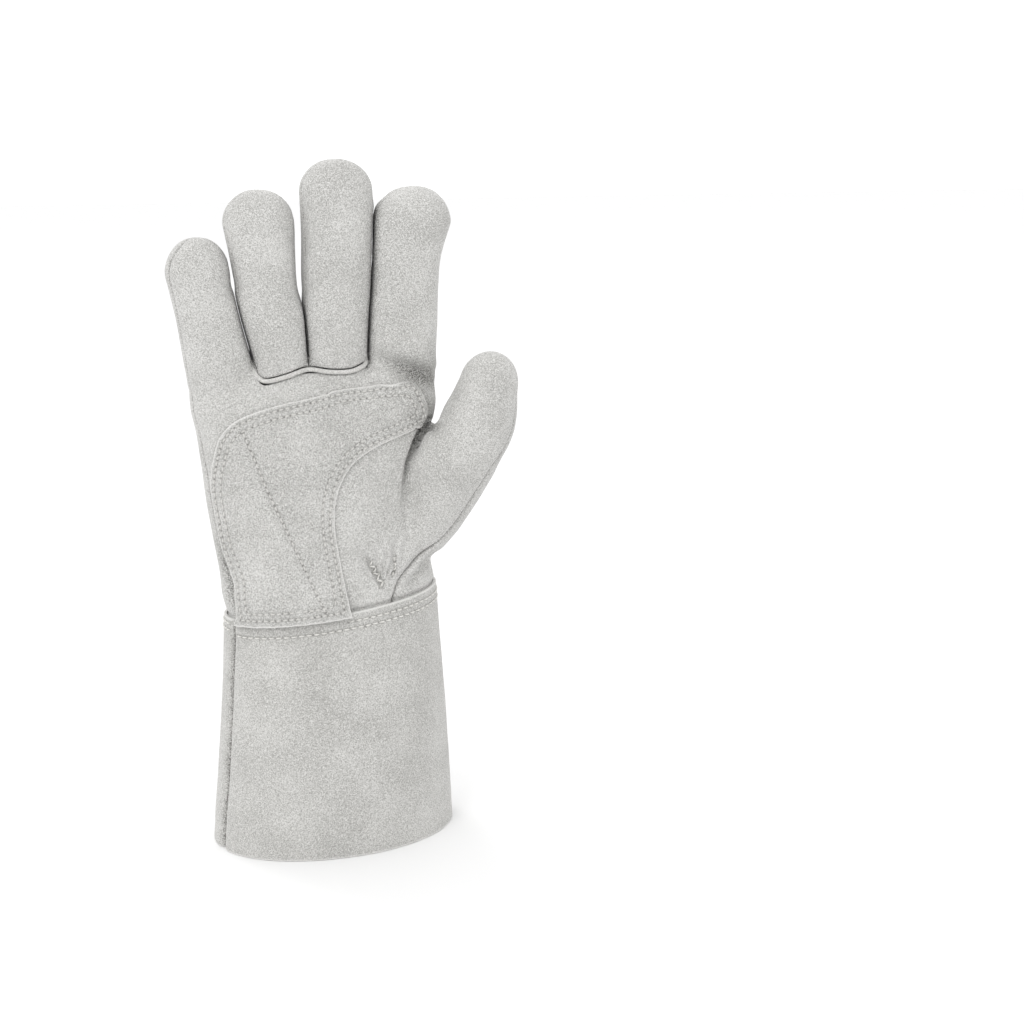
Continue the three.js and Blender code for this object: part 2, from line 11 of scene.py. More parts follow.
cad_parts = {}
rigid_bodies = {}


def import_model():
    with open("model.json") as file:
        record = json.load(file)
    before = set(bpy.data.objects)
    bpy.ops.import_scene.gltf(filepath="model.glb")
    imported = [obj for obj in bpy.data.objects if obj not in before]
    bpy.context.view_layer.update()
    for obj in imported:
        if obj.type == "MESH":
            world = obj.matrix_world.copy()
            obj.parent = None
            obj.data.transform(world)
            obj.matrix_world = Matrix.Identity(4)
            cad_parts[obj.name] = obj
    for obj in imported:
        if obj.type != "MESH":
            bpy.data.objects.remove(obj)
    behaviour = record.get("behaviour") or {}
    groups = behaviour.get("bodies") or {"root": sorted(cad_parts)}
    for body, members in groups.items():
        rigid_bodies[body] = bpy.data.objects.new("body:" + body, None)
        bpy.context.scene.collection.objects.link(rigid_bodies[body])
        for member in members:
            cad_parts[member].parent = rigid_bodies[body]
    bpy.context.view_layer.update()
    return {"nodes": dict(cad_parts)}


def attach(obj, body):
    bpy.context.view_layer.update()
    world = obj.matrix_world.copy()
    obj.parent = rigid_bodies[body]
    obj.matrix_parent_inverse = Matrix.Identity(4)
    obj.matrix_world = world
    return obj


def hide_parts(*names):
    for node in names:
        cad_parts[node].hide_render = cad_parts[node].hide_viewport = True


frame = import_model()
bpy.ops.object.select_all(action="DESELECT")


# Hand, fingers and thumb in one form
# The hand of the glove is cut from split cowhide and filled out as by a hand inside it. It is modelled as one
# closed form first, from the same sections as the solids, and cut into its panels afterwards.
MM = 0.001
GLOVE_ORIGIN = np.array([-8.445, 6.931, 0.0])

# Sections: height, centre x and y, half width, depth to the palm and to the back, turn in degrees, squareness
HAND = np.array([
    [84, 1.8, -0.8, 56.2, 38.6, 30.8, 10, 2.1],
    [112, 1.5, 0.0, 55.0, 36.4, 29.4, 10, 2.15],
    [122, 1.2, 0.0, 54.6, 35.8, 29.0, 10, 2.2],
    [132, 0.2, 0.0, 55.6, 35.4, 28.8, 9, 2.2],
    [143, -1.1, 0.0, 54.9, 32.8, 27.8, 7, 2.3],
    [160, -3.0, 0.0, 55.8, 29.0, 26.0, 4, 2.4],
    [180, -4.0, 0.0, 57.3, 26.8, 24.8, 1, 2.5],
    [200, -4.7, 0.0, 58.5, 25.6, 23.6, 0, 2.6],
    [216, -5.2, 0.0, 59.8, 24.0, 22.0, 0, 2.7],
    [230, -5.6, 0.0, 61.8, 21.0, 19.4, 0, 2.8],
    [242, -5.2, 0.0, 61.8, 16.2, 15.6, 0, 2.8],
    [252, -5.0, 0.0, 59.0, 11.0, 11.0, 0, 2.8],
])
LITTLE_FINGER = np.array([
    [222, -47.0, 0.6, 17.4, 13.6, 13.6, 0, 2.6],
    [238, -50.2, 0.0, 17.6, 14.2, 14.0, 0, 2.8],
    [254, -53.2, -1.4, 16.8, 14.0, 14.0, 0, 2.9],
    [270, -56.5, -2.6, 15.7, 13.6, 13.8, 0, 2.8],
    [286, -59.7, -3.8, 15.2, 13.4, 13.6, 0, 2.6],
    [295, -61.0, -4.4, 16.0, 13.4, 13.4, 0, 2.4],
])
RING_FINGER = np.array([
    [224, -18.6, 1.0, 12.0, 14.6, 14.6, 0, 2.6],
    [242, -21.0, 0.0, 12.1, 15.2, 15.0, 0, 2.8],
    [258, -23.2, -1.6, 13.9, 15.0, 15.0, 0, 2.9],
    [274, -25.5, -2.9, 15.1, 14.8, 14.8, 0, 2.9],
    [290, -28.0, -4.2, 15.3, 14.4, 14.6, 0, 2.7],
    [306, -29.6, -5.3, 16.4, 14.2, 14.4, 0, 2.5],
    [319, -30.8, -6.2, 17.8, 14.2, 14.4, 0, 2.4],
])
MIDDLE_FINGER = np.array([
    [224, 7.2, 1.0, 14.0, 15.0, 15.0, 0, 2.6],
    [242, 7.0, 0.0, 14.2, 15.8, 15.6, 0, 2.8],
    [258, 6.6, -1.6, 14.6, 15.6, 15.6, 0, 2.9],
    [274, 6.6, -3.1, 15.5, 15.4, 15.4, 0, 2.9],
    [290, 6.6, -4.6, 16.8, 15.0, 15.2, 0, 2.8],
    [312, 7.2, -6.6, 17.3, 14.8, 15.0, 0, 2.6],
    [334, 7.3, -8.4, 18.4, 14.6, 14.8, 0, 2.4],
])
INDEX_FINGER = np.array([
    [218, 37.6, 1.0, 16.8, 15.6, 15.6, 0, 2.5],
    [234, 39.4, 0.4, 17.8, 17.4, 15.6, 0, 2.6],
    [246, 39.6, -1.4, 17.4, 13.6, 15.4, 0, 2.8],
    [258, 39.6, -3.6, 17.2, 15.2, 15.2, 0, 2.9],
    [274, 40.2, -5.6, 17.0, 15.4, 15.2, 0, 2.9],
    [290, 41.0, -7.6, 16.5, 15.0, 15.0, 0, 2.7],
    [304, 42.0, -9.2, 16.9, 14.8, 14.8, 0, 2.5],
    [319, 44.5, -11.0, 19.0, 14.8, 14.8, 0, 2.4],
])
FINGERS = [LITTLE_FINGER, RING_FINGER, MIDDLE_FINGER, INDEX_FINGER]
TIP_HEIGHTS = [18.5, 17.4, 16.7, 18.5]

# Thumb: step, x, y and z of its axis, half width, half depth, and turn of its outer seam in degrees
THUMB = np.array([
    [0, 24.0, 4.0, 132.0, 7.0, 12.0, 60],
    [1, 38.6, 1.0, 151.0, 15.2, 18.0, 60],
    [2, 53.0, -5.0, 172.0, 18.6, 19.5, 52],
    [3, 65.2, -14.0, 200.0, 21.3, 19.5, 40],
    [3.5, 71.0, -16.6, 209.6, 20.0, 18.9, 33],
    [4, 75.8, -19.0, 219.5, 19.3, 17.6, 26],
    [5, 80.3, -23.4, 239.0, 15.1, 14.8, 20],
])
THUMB_TIP = 17.0
TIP_LEAN = 0.05
HAND_FOOT = 100.0
CROTCH_START = 226.0
CROTCH_HEIGHT = 252.0
CROTCH_SLOPE = 0.3

# Points round each ring, and rings along each tube. A round tip ends just short of its pole.
HAND_GRID = (120, 60)
FINGER_GRID = (72, 40)
THUMB_GRID = (80, 48)
TIP_RINGS = 14
TIP_END = 0.985
VOXEL = 1.35
SMOOTH_ROUNDS = 6

# While the form is made, the fingers are fanned out from this height, so that they don't grow together.
FAN_START = 240.0
FAN = [-0.33, -0.11, 0.11, 0.33]
THUMB_SIDE_X = 64.0
THUMB_TOP_Z = 258.0

# Neighbouring fingers lie against each other up to these heights, with only a hair's breadth between them.
TOUCH_TOP = [290.0, 286.0, 332.0]
TOUCH_FADE = 11.0
TOUCH_GAP = 0.36
TOUCH_PRESS = 1.5

# Folds that the leather has taken on the palm side. Each row has x, z, depth and half width.
INDEX_FOLD = np.array([
    [22.0, 253.2, 0.3, 2.4],
    [28.5, 251.0, 1.4, 3.2],
    [35.5, 248.0, 3.4, 4.2],
    [42.5, 244.2, 5.6, 5.0],
    [49.0, 240.6, 6.4, 5.2],
    [54.5, 237.2, 5.2, 5.0],
    [58.5, 235.0, 3.0, 4.0],
])
INDEX_BROW = np.array([
    [26.0, 259.0, -0.5, 4.0],
    [36.0, 255.0, -1.5, 4.6],
    [46.0, 250.5, -1.8, 4.6],
    [54.0, 246.0, -1.0, 4.0],
])
INDEX_LIP = np.array([
    [21.5, 255.0, -0.2, 1.6],
    [25.0, 246.8, -0.8, 2.4],
    [30.0, 241.6, -1.2, 2.6],
    [37.0, 238.0, -1.3, 2.4],
    [44.0, 235.2, -0.8, 2.0],
])
INDEX_GROOVE = np.array([
    [19.8, 244.3, 0.7, 1.1],
    [21.8, 241.0, 1.3, 1.1],
    [26.0, 239.4, 0.4, 1.5],
])
THUMB_CREASE = np.array([
    [52.3, 219.4, 4.5, 1.2],
    [48.9, 216.5, 7.5, 1.2],
    [46.2, 213.2, 8.0, 1.2],
    [43.5, 207.6, 7.5, 1.3],
    [39.9, 199.2, 5.4, 1.3],
    [38.2, 191.0, 3.4, 1.3],
    [37.8, 181.0, 1.4, 2.0],
    [38.1, 167.4, 0.3, 3.0],
])
THUMB_ROLL = np.array([
    [52.0, 212.0, -0.8, 2.2],
    [49.0, 208.0, -1.2, 2.6],
    [45.8, 202.6, -1.5, 3.2],
    [42.6, 195.0, -1.4, 3.4],
    [41.8, 186.0, -1.0, 3.6],
    [42.4, 176.0, -0.3, 4.0],
])
DIAGONAL_FURROW = np.array([
    [-42.8, 218.7, 0.1, 2.2],
    [-39.6, 210.6, 0.5, 2.4],
    [-31.1, 187.4, 0.7, 2.8],
    [-21.8, 165.4, 0.8, 3.0],
    [-12.4, 143.0, 0.6, 2.8],
    [-6.2, 128.6, 0.2, 2.4],
])
TACK_LEFT = np.array([
    [13.5, 159.5, 0.2, 1.9],
    [17.4, 152.0, 1.5, 1.4],
    [20.6, 146.0, 2.2, 1.3],
    [24.2, 138.4, 2.4, 1.4],
])
TACK_RIGHT = np.array([
    [31.6, 161.0, 0.2, 1.8],
    [31.4, 152.0, 1.1, 1.2],
    [31.0, 145.0, 1.0, 1.2],
    [28.8, 141.0, 0.5, 1.3],
])
TACK_SWELL = np.array([
    [24.6, 158.0, -0.6, 2.6],
    [24.6, 150.0, -0.9, 2.2],
])
OUTER_ROLL = np.array([
    [57.5, 159.0, -0.5, 2.2],
    [51.0, 152.4, -1.2, 1.9],
    [45.0, 146.6, -1.3, 1.8],
    [38.5, 140.5, -0.6, 1.8],
])
WRIST_HOLLOW = np.array([
    [36.5, 135.0, 0.5, 2.0],
    [42.0, 138.5, 2.6, 2.8],
    [48.5, 143.0, 3.0, 2.8],
    [54.0, 148.0, 1.8, 2.6],
])
WEB_CORNER = np.array([
    [37.0, 227.0, 0.3, 3.0],
    [42.0, 222.5, 0.8, 2.6],
    [47.0, 219.0, 1.5, 2.0],
    [51.5, 217.5, 1.6, 2.0],
])
WEB_WRINKLE = np.array([
    [42.5, 216.8, 0.3, 0.9],
    [46.5, 216.0, 1.2, 0.9],
    [51.0, 216.6, 1.2, 1.0],
])
FOLDS = [
    INDEX_FOLD, INDEX_BROW, INDEX_LIP, INDEX_GROOVE, DIAGONAL_FURROW, TACK_LEFT, TACK_RIGHT, TACK_SWELL,
    OUTER_ROLL, WRIST_HOLLOW, WEB_CORNER, WEB_WRINKLE,
]
THUMB_FOLDS = [THUMB_CREASE, THUMB_ROLL]

# The folds show fully where the leather faces the palm side, and the waves calm down beside the slits.
PALM_FACING = [-0.1, 0.35]
SLIT_CALM = [0.4, 3.5]

# Unevenness of the hide: height and wavelength, and where in the noise it starts
WAVES = np.array([
    [0.45, 34.0],
    [0.22, 13.0],
    [0.07, 5.0],
])
WAVE_START = 7.3

# Wrinkles that spread upwards from the foot of the tack, within these distances and this angle from it
PUCKER_FOOT = [24.5, 137.0]
PUCKER_DEPTH = 0.8
PUCKERS = 21.0
PUCKER_START = [3.0, 9.0]
PUCKER_END = [15.0, 34.0]
PUCKER_SPREAD = [0.6, 1.2]
PUCKER_WANDER = [[3.0, 9.0]]
LEAST_SHARE = 0.01

# The notch between the thumb and the hand, and how far the leather drops there
WEB_NOTCH = np.array([
    [54.6, 216.0],
    [55.8, 222.0],
])
WEB_X = 55.6
WEB_WIDTH = 2.4
WEB_DROP = 4.6
WEB_DEPTH = [-22.0, -14.0]
WEB_FOOT = [200.0, 216.0]
WEB_HEAD = [226.0, 240.0]

# The cuff's top edge presses the hand in a little; its height, and how much higher it stands for each mm in x
CUFF_TOP = 126.6
CUFF_TOP_SLOPE = 0.09
CUFF_PRESS = 1.3
CUFF_PRESS_WIDTH = 1.2
CUFF_PRESS_HEIGHT = 0.4

# Narrow folds get finer faces, in two rounds: reach from a fold, longest edge left, reach from the middle of
# the tack, and reach from the place where the cuff's edge presses.
FINE_FOLDS = [THUMB_CREASE, TACK_LEFT, TACK_RIGHT, INDEX_GROOVE, WEB_WRINKLE, WEB_NOTCH]
FINE_ROUNDS = ((5.0, 0.9, 15.0, 3.2), (2.6, 0.45, 0.0, 0.0))
FINE_TACK_HEIGHT = 13.0
FINE_PRESS_HEIGHT = 0.5
FINE_FACING = 0.3


def at(rows, level):
    """Columns of a table at any levels of its first column, on smooth curves through its rows."""
    first = rows[:, 0]
    last = len(rows) - 1
    before = np.maximum(np.arange(last + 1) - 1, 0)
    after = np.minimum(np.arange(last + 1) + 1, last)
    slope = (rows[after] - rows[before]) / (first[after] - first[before])[:, None]
    level = np.clip(np.asarray(level, float), first[0], first[-1])
    i = np.clip(np.searchsorted(first, level, side="right") - 1, 0, last - 1)
    span = (first[i + 1] - first[i])[..., None]
    t = (level - first[i])[..., None] / span
    curved = (2 * t**3 - 3 * t**2 + 1) * rows[i] + (t**3 - 2 * t**2 + t) * span * slope[i]
    curved = curved + (3 * t**2 - 2 * t**3) * rows[i + 1] + (t**3 - t**2) * span * slope[i + 1]
    return np.moveaxis(curved, -1, 0)


def smoothstep(value, low, high):
    """0 below the low value and 1 above the high one, with a soft rise between them."""
    t = np.clip((np.asarray(value, float) - low) / (high - low), 0, 1)
    return t * t * (3 - 2 * t)


def span(value, start, end):
    """Rises softly over the first pair of values, and falls again over the second."""
    return smoothstep(value, *start) * (1 - smoothstep(value, *end))


def bell(distance, width):
    """1 at no distance, and next to nothing beyond twice the width."""
    return np.exp(-((distance / width) ** 2))


def ring(section, sides, scale=1.0, slope=0.0):
    """One closed ring of points round an upright tube."""
    z, x, y, wide, front, back, turn, square = section
    angle = np.arange(sides) / sides * 2 * np.pi
    c, s = np.cos(angle), np.sin(angle)
    u = wide * np.sign(c) * np.abs(c) ** (2 / square) * scale
    v = np.where(s < 0, front, back) * np.sign(s) * np.abs(s) ** (2 / square) * scale
    t = math.radians(turn)
    return np.stack([
        x + u * math.cos(t) - v * math.sin(t),
        y + u * math.sin(t) + v * math.cos(t),
        z + slope * v,
    ], 1)


def new_object(name, points, faces):
    """A mesh object from points in the glove's own millimetres."""
    mesh = bpy.data.meshes.new(name)
    mesh.from_pydata([tuple(p) for p in (np.asarray(points) + GLOVE_ORIGIN) * MM], [], faces)
    piece = bpy.data.objects.new(name, mesh)
    bpy.context.scene.collection.objects.link(piece)
    return piece


def loft(name, rings):
    """A closed mesh through a stack of rings."""
    sides = len(rings[0])
    faces = []
    for r in range(len(rings) - 1):
        for i in range(sides):
            j = (i + 1) % sides
            faces.append((r * sides + i, r * sides + j, (r + 1) * sides + j, (r + 1) * sides + i))
    top = (len(rings) - 1) * sides
    faces.append(tuple(range(sides - 1, -1, -1)))
    faces.append(tuple(range(top, top + sides)))
    return new_object(name, np.concatenate(rings), faces)


def finger_side(k, z, way):
    """x of one side of a finger at any height, round its tip too."""
    rows = FINGERS[k]
    section = at(rows, z)
    above = np.clip((z - rows[-1, 0]) / TIP_HEIGHTS[k], 0, 1)
    return section[1] + way * section[3] * np.sqrt(1 - above**2)


def slit_x(i, z):
    """x of the middle of the slit between a finger and the next one."""
    return (finger_side(i, z, 1) + finger_side(i + 1, z, -1)) / 2


def slit_walls(i, z):
    """x of the two sides of the slit between a finger and the next one."""
    return slit_x(i, z) - TOUCH_GAP / 2, slit_x(i, z) + TOUCH_GAP / 2


def filled_out(k, points):
    """Widens a finger to lie against its neighbours, and keeps it on its own side of their slits."""
    moved = points.copy()
    z = points[:, 2]
    axis = at(FINGERS[k], z)[1]
    for i, way in ((k, 1), (k - 1, -1)):
        if 0 <= i < 3:
            side = finger_side(k, z, way)
            wall = slit_x(i, z) - way * TOUCH_GAP / 2
            share = 1 - smoothstep(z, TOUCH_TOP[i] - TOUCH_FADE, TOUCH_TOP[i])
            reach = np.clip(way * (points[:, 0] - axis) / np.maximum(way * (side - axis), 1e-3), 0, 1)
            moved[:, 0] += share * reach**4 * (wall - side + way * TOUCH_PRESS)
            moved[:, 0] = np.minimum(moved[:, 0], wall) if way > 0 else np.maximum(moved[:, 0], wall)
    return moved


def fan_shift(x, z, spread):
    """How far a point moves sideways when the fingers are fanned out; spread tells if x is fanned already."""
    rise = np.maximum(z - FAN_START, 0)
    shift = FAN[0] * rise
    for i in range(3):
        a, b = slit_walls(i, z)
        if spread:
            a, b = a + FAN[i] * rise, b + FAN[i + 1] * rise
        shift = shift + (FAN[i + 1] - FAN[i]) * rise * np.clip((x - a) / (b - a), 0, 1)
    return shift


def fanned(points):
    """Points moved with their fingers when those are fanned out."""
    moved = points.copy()
    moved[:, 0] += fan_shift(points[:, 0], points[:, 2], False)
    return moved


def dome():
    """Widths and heights of a round tip, from its foot to its top."""
    angles = (np.arange(TIP_RINGS) + 1) / TIP_RINGS * (np.pi / 2) * TIP_END
    return zip(np.cos(angles), np.sin(angles))


def finger_rings(k):
    """Rings of a finger from its root to the top of its round tip."""
    sides, levels = FINGER_GRID
    rows, tip = FINGERS[k], TIP_HEIGHTS[k]
    rings = [ring(at(rows, z), sides) for z in np.linspace(rows[0, 0], rows[-1, 0], levels)]
    for width, height in dome():
        section = rows[-1].copy()
        section[0] += tip * height
        section[2] -= TIP_LEAN * tip * height
        rings.append(ring(section, sides, width))
    return [filled_out(k, r) for r in rings]


def hand_rings():
    """Rings of the hand from inside the cuff up to the crotches of the fingers, where they tilt."""
    sides, levels = HAND_GRID
    rings = []
    for z in np.linspace(HAND_FOOT, CROTCH_HEIGHT, levels):
        slope = CROTCH_SLOPE * smoothstep(z, CROTCH_START, CROTCH_HEIGHT)
        rings.append(ring(at(HAND, z), sides, 1.0, slope))
    return rings


def thumb_rings():
    """Rings of the thumb, square to its leaning axis."""
    sides, levels = THUMB_GRID
    rings = []
    steps = np.linspace(0, THUMB[-1, 0], levels)
    axis = at(THUMB, steps)[1:4].T
    along = np.gradient(axis, axis=0)
    along /= np.linalg.norm(along, axis=1)[:, None]
    angle = np.arange(sides) / sides * 2 * np.pi
    outer = np.stack([along[:, 2], 0 * along[:, 0], -along[:, 0]], 1)
    outer /= np.linalg.norm(outer, axis=1)[:, None]
    back = np.cross(along, outer)
    for k, step in enumerate(steps):
        wide, deep = at(THUMB, step)[4:6]
        side = np.outer(wide * np.cos(angle), outer[k])
        rings.append(axis[k] + side + np.outer(deep * np.sin(angle), back[k]))
    for width, height in dome():
        middle = axis[-1] + along[-1] * THUMB_TIP * height
        side = np.outer(THUMB[-1, 4] * width * np.cos(angle), outer[-1])
        rings.append(middle + side + np.outer(THUMB[-1, 5] * width * np.sin(angle), back[-1]))
    return rings


def only(piece):
    """Makes one object the selected and active one."""
    bpy.ops.object.select_all(action="DESELECT")
    piece.select_set(True)
    bpy.context.view_layer.objects.active = piece


def apply_modifier(piece, kind, **settings):
    """Adds a modifier to a piece and applies it at once."""
    modifier = piece.modifiers.new(kind.title(), kind)
    for name, value in settings.items():
        setattr(modifier, name, value)
    only(piece)
    bpy.ops.object.modifier_apply(modifier=modifier.name)


def points_of(piece):
    """A mesh's points in the glove's own millimetres."""
    flat = np.zeros(len(piece.data.vertices) * 3)
    piece.data.vertices.foreach_get("co", flat)
    return flat.reshape(-1, 3) / MM - GLOVE_ORIGIN


def set_points(piece, points):
    """Moves a mesh's points to places given in the glove's own millimetres."""
    piece.data.vertices.foreach_set("co", ((points + GLOVE_ORIGIN) * MM).ravel())
    piece.data.update()


tubes = [loft("form_hand", [fanned(r) for r in hand_rings()])]
for k in range(4):
    tubes.append(loft("form_finger", [fanned(r) for r in finger_rings(k)]))
tubes.append(loft("form_thumb", thumb_rings()))
for tube in tubes:
    tube.select_set(True)
form = tubes[0]
bpy.context.view_layer.objects.active = form
bpy.ops.object.join()
apply_modifier(form, "REMESH", mode="VOXEL", voxel_size=VOXEL * MM, adaptivity=0.0)
apply_modifier(form, "SMOOTH", factor=0.5, iterations=SMOOTH_ROUNDS)
points = points_of(form)
in_fingers = (points[:, 0] < THUMB_SIDE_X) | (points[:, 2] > THUMB_TOP_Z)
points[:, 0] -= fan_shift(points[:, 0], points[:, 2], True) * in_fingers
set_points(form, points)


def normals_of(piece):
    """Directions in which a mesh's points face."""
    flat = np.zeros(len(piece.data.vertices) * 3)
    piece.data.vertex_normals.foreach_get("vector", flat)
    return flat.reshape(-1, 3)


def line_gap(line, x, z):
    """Distance of points from a line in x and z, and the line's other columns at the nearest place on it."""
    best = np.full(len(x), 1e9)
    found = np.zeros((line.shape[1] - 2, len(x)))
    for a, b in zip(line, line[1:]):
        edge = b[:2] - a[:2]
        share = np.clip(((x - a[0]) * edge[0] + (z - a[1]) * edge[1]) / (edge @ edge), 0, 1)
        gap = np.hypot(x - a[0] - share * edge[0], z - a[1] - share * edge[1])
        found = np.where(gap < best, a[2:, None] + share * (b[2:] - a[2:])[:, None], found)
        best = np.minimum(best, gap)
    return best, found


def line_depth(line, x, z):
    """Depth of a fold at points: full on its line, and none beyond its width."""
    gap, (high, wide) = line_gap(line, x, z)
    return high * bell(gap, wide)


def waves(points, sizes):
    """Soft, irregular unevenness of hide; each row of sizes has a height and a wavelength."""
    total = np.zeros(len(points))
    for height, length in sizes:
        total += height * np.array([noise.noise(Vector(p)) for p in points / length + WAVE_START])
    return total


def puckers(points):
    """Depth of the small wrinkles round the tack."""
    across, up = points[:, 0] - PUCKER_FOOT[0], points[:, 2] - PUCKER_FOOT[1]
    reach, angle = np.hypot(across, up), np.arctan2(across, up)
    share = span(reach, PUCKER_START, PUCKER_END) * (1 - smoothstep(np.abs(angle), *PUCKER_SPREAD))
    depth = np.zeros(len(points))
    there = share > LEAST_SHARE
    wander = waves(points[there], PUCKER_WANDER)
    depth[there] = PUCKER_DEPTH * share[there] * np.sin(angle[there] * PUCKERS + wander)
    return depth


def face_centres(shape):
    """Middles of a shape's faces in the glove's own millimetres."""
    return np.array([f.calc_center_median() for f in shape.faces]) / MM - GLOVE_ORIGIN


def each_once(items):
    """A list without repeats, in an order that is the same on every run, as that of a set isn't."""
    return list(dict.fromkeys(items))


def make_finer(shape, faces, longest):
    """Halves the edges of some faces that are longer than they may be."""
    edges = each_once(e for f in faces for e in f.edges if e.calc_length() > longest * MM)
    bmesh.ops.subdivide_edges(shape, edges=edges, cuts=1, use_grid_fill=True)


# The web between the thumb and the hand lies lower than the joined form left it
points = points_of(form)
x, y, z = points.T
low = bell(x - WEB_X, WEB_WIDTH) * smoothstep(y, *WEB_DEPTH)
points[:, 2] -= WEB_DROP * low * smoothstep(z, *WEB_FOOT) * (1 - smoothstep(z, *WEB_HEAD))
set_points(form, points)

# Finer faces where the folds are narrow
for reach, longest, tack_reach, press_reach in FINE_ROUNDS:
    shape = bmesh.new()
    shape.from_mesh(form.data)
    centres = face_centres(shape)
    x, z = centres[:, 0], centres[:, 2]
    close = np.min([line_gap(line, x, z)[0] for line in FINE_FOLDS], axis=0) < reach
    close |= np.hypot(x - PUCKER_FOOT[0], z - PUCKER_FOOT[1] - FINE_TACK_HEIGHT) < tack_reach
    near = [f for f, yes in zip(shape.faces, close) if yes and f.normal.y < FINE_FACING]
    pressed = np.abs(z - CUFF_TOP - CUFF_TOP_SLOPE * x - FINE_PRESS_HEIGHT) < press_reach
    near += [f for f, yes in zip(shape.faces, pressed) if yes]
    make_finer(shape, near, longest)
    shape.to_mesh(form.data)
    shape.free()

# The waves, the folds and the wrinkles are pressed in along the surface
points = points_of(form)
normals = normals_of(form)
facing = smoothstep(-normals[:, 1], *PALM_FACING)
depth = -waves(points, WAVES) + facing * puckers(points)
for fold in FOLDS:
    depth += facing * line_depth(fold, points[:, 0], points[:, 2])
thumb_depth = sum(facing * line_depth(fold, points[:, 0], points[:, 2]) for fold in THUMB_FOLDS)
above_cuff = points[:, 2] - CUFF_TOP - CUFF_TOP_SLOPE * points[:, 0]
thumb_depth += CUFF_PRESS * bell(above_cuff - CUFF_PRESS_HEIGHT, CUFF_PRESS_WIDTH)
near_slit = np.min([np.abs(points[:, 0] - slit_x(i, points[:, 2])) for i in range(3)], axis=0)
depth = np.where(points[:, 2] > FAN_START, depth * smoothstep(near_slit, *SLIT_CALM), depth)
laid_points = points - normals * depth[:, None]
set_points(form, laid_points - normals * thumb_depth[:, None])


# Seams of the hand
# The panels are sewn right sides together and turned, so a seam is a narrow valley between two rolled edges.
# The form is cut along the seams here, and its faces are sorted into panels.

# Side seams: height, and depth for each mm in x on the little finger's side and on the thumb's side
SIDE_SEAM = np.array([
    [90, 0.42, 0.42],
    [126, 0.4, 0.4],
    [131, 0.385, 0.32],
    [142, 0.37, 0.22],
    [153, 0.3, 0.17],
    [159, 0.25, 0.15],
    [171, 0.2, 0.12],
    [185, 0.16, 0.1],
    [200, 0.15, 0.09],
    [216, 0.12, 0.085],
    [240, 0.085, 0.085],
])

# The strips between the fingers, from their front seam to their back seam, and how they run to a point
FOURCHETTE_FRONT = -6.0
FOURCHETTE_BACK = 12.3
FOURCHETTE_POINT = 12.0
FOURCHETTE_TAPER = 52.0
FOURCHETTE_NARROWING = 0.6
FOURCHETTE_LEAST = 0.4
FINGER_SEAM_LEAN = 0.085
FINGER_SEAM_BLEND = [0.1, 0.6]
FINGER_SEAM_START = 228.0
FINGER_SEAM_FULL = 240.0
THUMB_ROOT_X = 51.0
THUMB_ROOT_STEEP = 12.0
THUMB_ROOT_LOW = 209.0
THUMB_ROOT_HIGH = 216.0
HAND_LOWER_EDGE = 112.0
THUMB_SEAM_COVER = 6.0
BASE_SEAM = np.array([
    [-35.0, 245.4],
    [-31.0, 242.3],
    [-21.3, 244.2],
    [-9.8, 247.2],
    [2.0, 246.2],
    [12.0, 246.2],
    [19.6, 248.6],
])
BASE_ZONE_X = [-40.0, 24.0]
BASE_ZONE_Z = 246.0
BASE_ZONE_HALF = 12.0
WELT_HALF = 1.25

# Outline of the palm patch in x and z, which also hides the inner edge of the thumb's opening
PATCH_TOP = np.array([
    [-66.0, 200.0],
    [-60.2, 208.5],
    [-54.7, 217.6],
    [-46.9, 224.3],
    [-38.1, 227.7],
    [-25.8, 230.9],
    [-12.0, 233.4],
    [4.9, 236.9],
    [22.0, 238.2],
    [39.5, 239.2],
    [46.3, 234.6],
    [49.8, 227.0],
    [49.6, 221.4],
])
PATCH_THUMB_CURVE = np.array([
    [47.0, 217.0],
    [35.3, 213.3],
    [20.6, 207.7],
    [10.9, 201.0],
    [4.8, 192.0],
    [1.5, 181.5],
    [0.8, 169.0],
    [2.5, 154.0],
    [4.8, 138.0],
    [7.2, 121.0],
])

# The thumb's opening at the web, and how it leans with the depth there
THUMB_WEB = np.array([
    [140, 90],
    [140, 300],
    [58.2, 300],
    [57.2, 226],
    [55.7, 221.6],
    [54.2, 218.6],
    [53.2, 216.8],
])
WEB_LEAN = [0.17, 0.2]
WEB_LEAN_RISE = [196.0, 208.0]
WEB_LEAN_FROM = -12.0

# The seam down the outside of the thumb: height and x, and where it joins the seam round the thumb
THUMB_OUTER_SEAM = np.array([
    [100.0, 27.0],
    [129.0, 29.6],
    [134.4, 31.2],
    [140.5, 34.5],
    [146.7, 41.4],
    [151.9, 47.6],
    [158.6, 54.9],
    [170.0, 66.0],
])
THUMB_SEAM_JOIN = [150.0, 164.0]
LINE_POINTS = 60
CURVE_SAMPLES = 400


def curve(outline, count):
    """A smooth line through the points of an outline, with evenly spaced points."""
    reach = np.concatenate([[0], np.cumsum(np.linalg.norm(np.diff(outline, axis=0), axis=1))])
    rows = np.column_stack([reach, outline])
    fine = at(rows, np.linspace(0, reach[-1], CURVE_SAMPLES))[1:].T
    along = np.concatenate([[0], np.cumsum(np.linalg.norm(np.diff(fine, axis=0), axis=1))])
    even = np.linspace(0, along[-1], count)
    return np.stack([np.interp(even, along, fine[:, k]) for k in range(outline.shape[1])], 1)


def shifted(outline, distance):
    """An outline moved sideways, to the left of its direction."""
    way = np.gradient(outline, axis=0)
    way /= np.linalg.norm(way, axis=1)[:, None]
    return outline + distance * np.stack([-way[:, 1], way[:, 0]], 1)


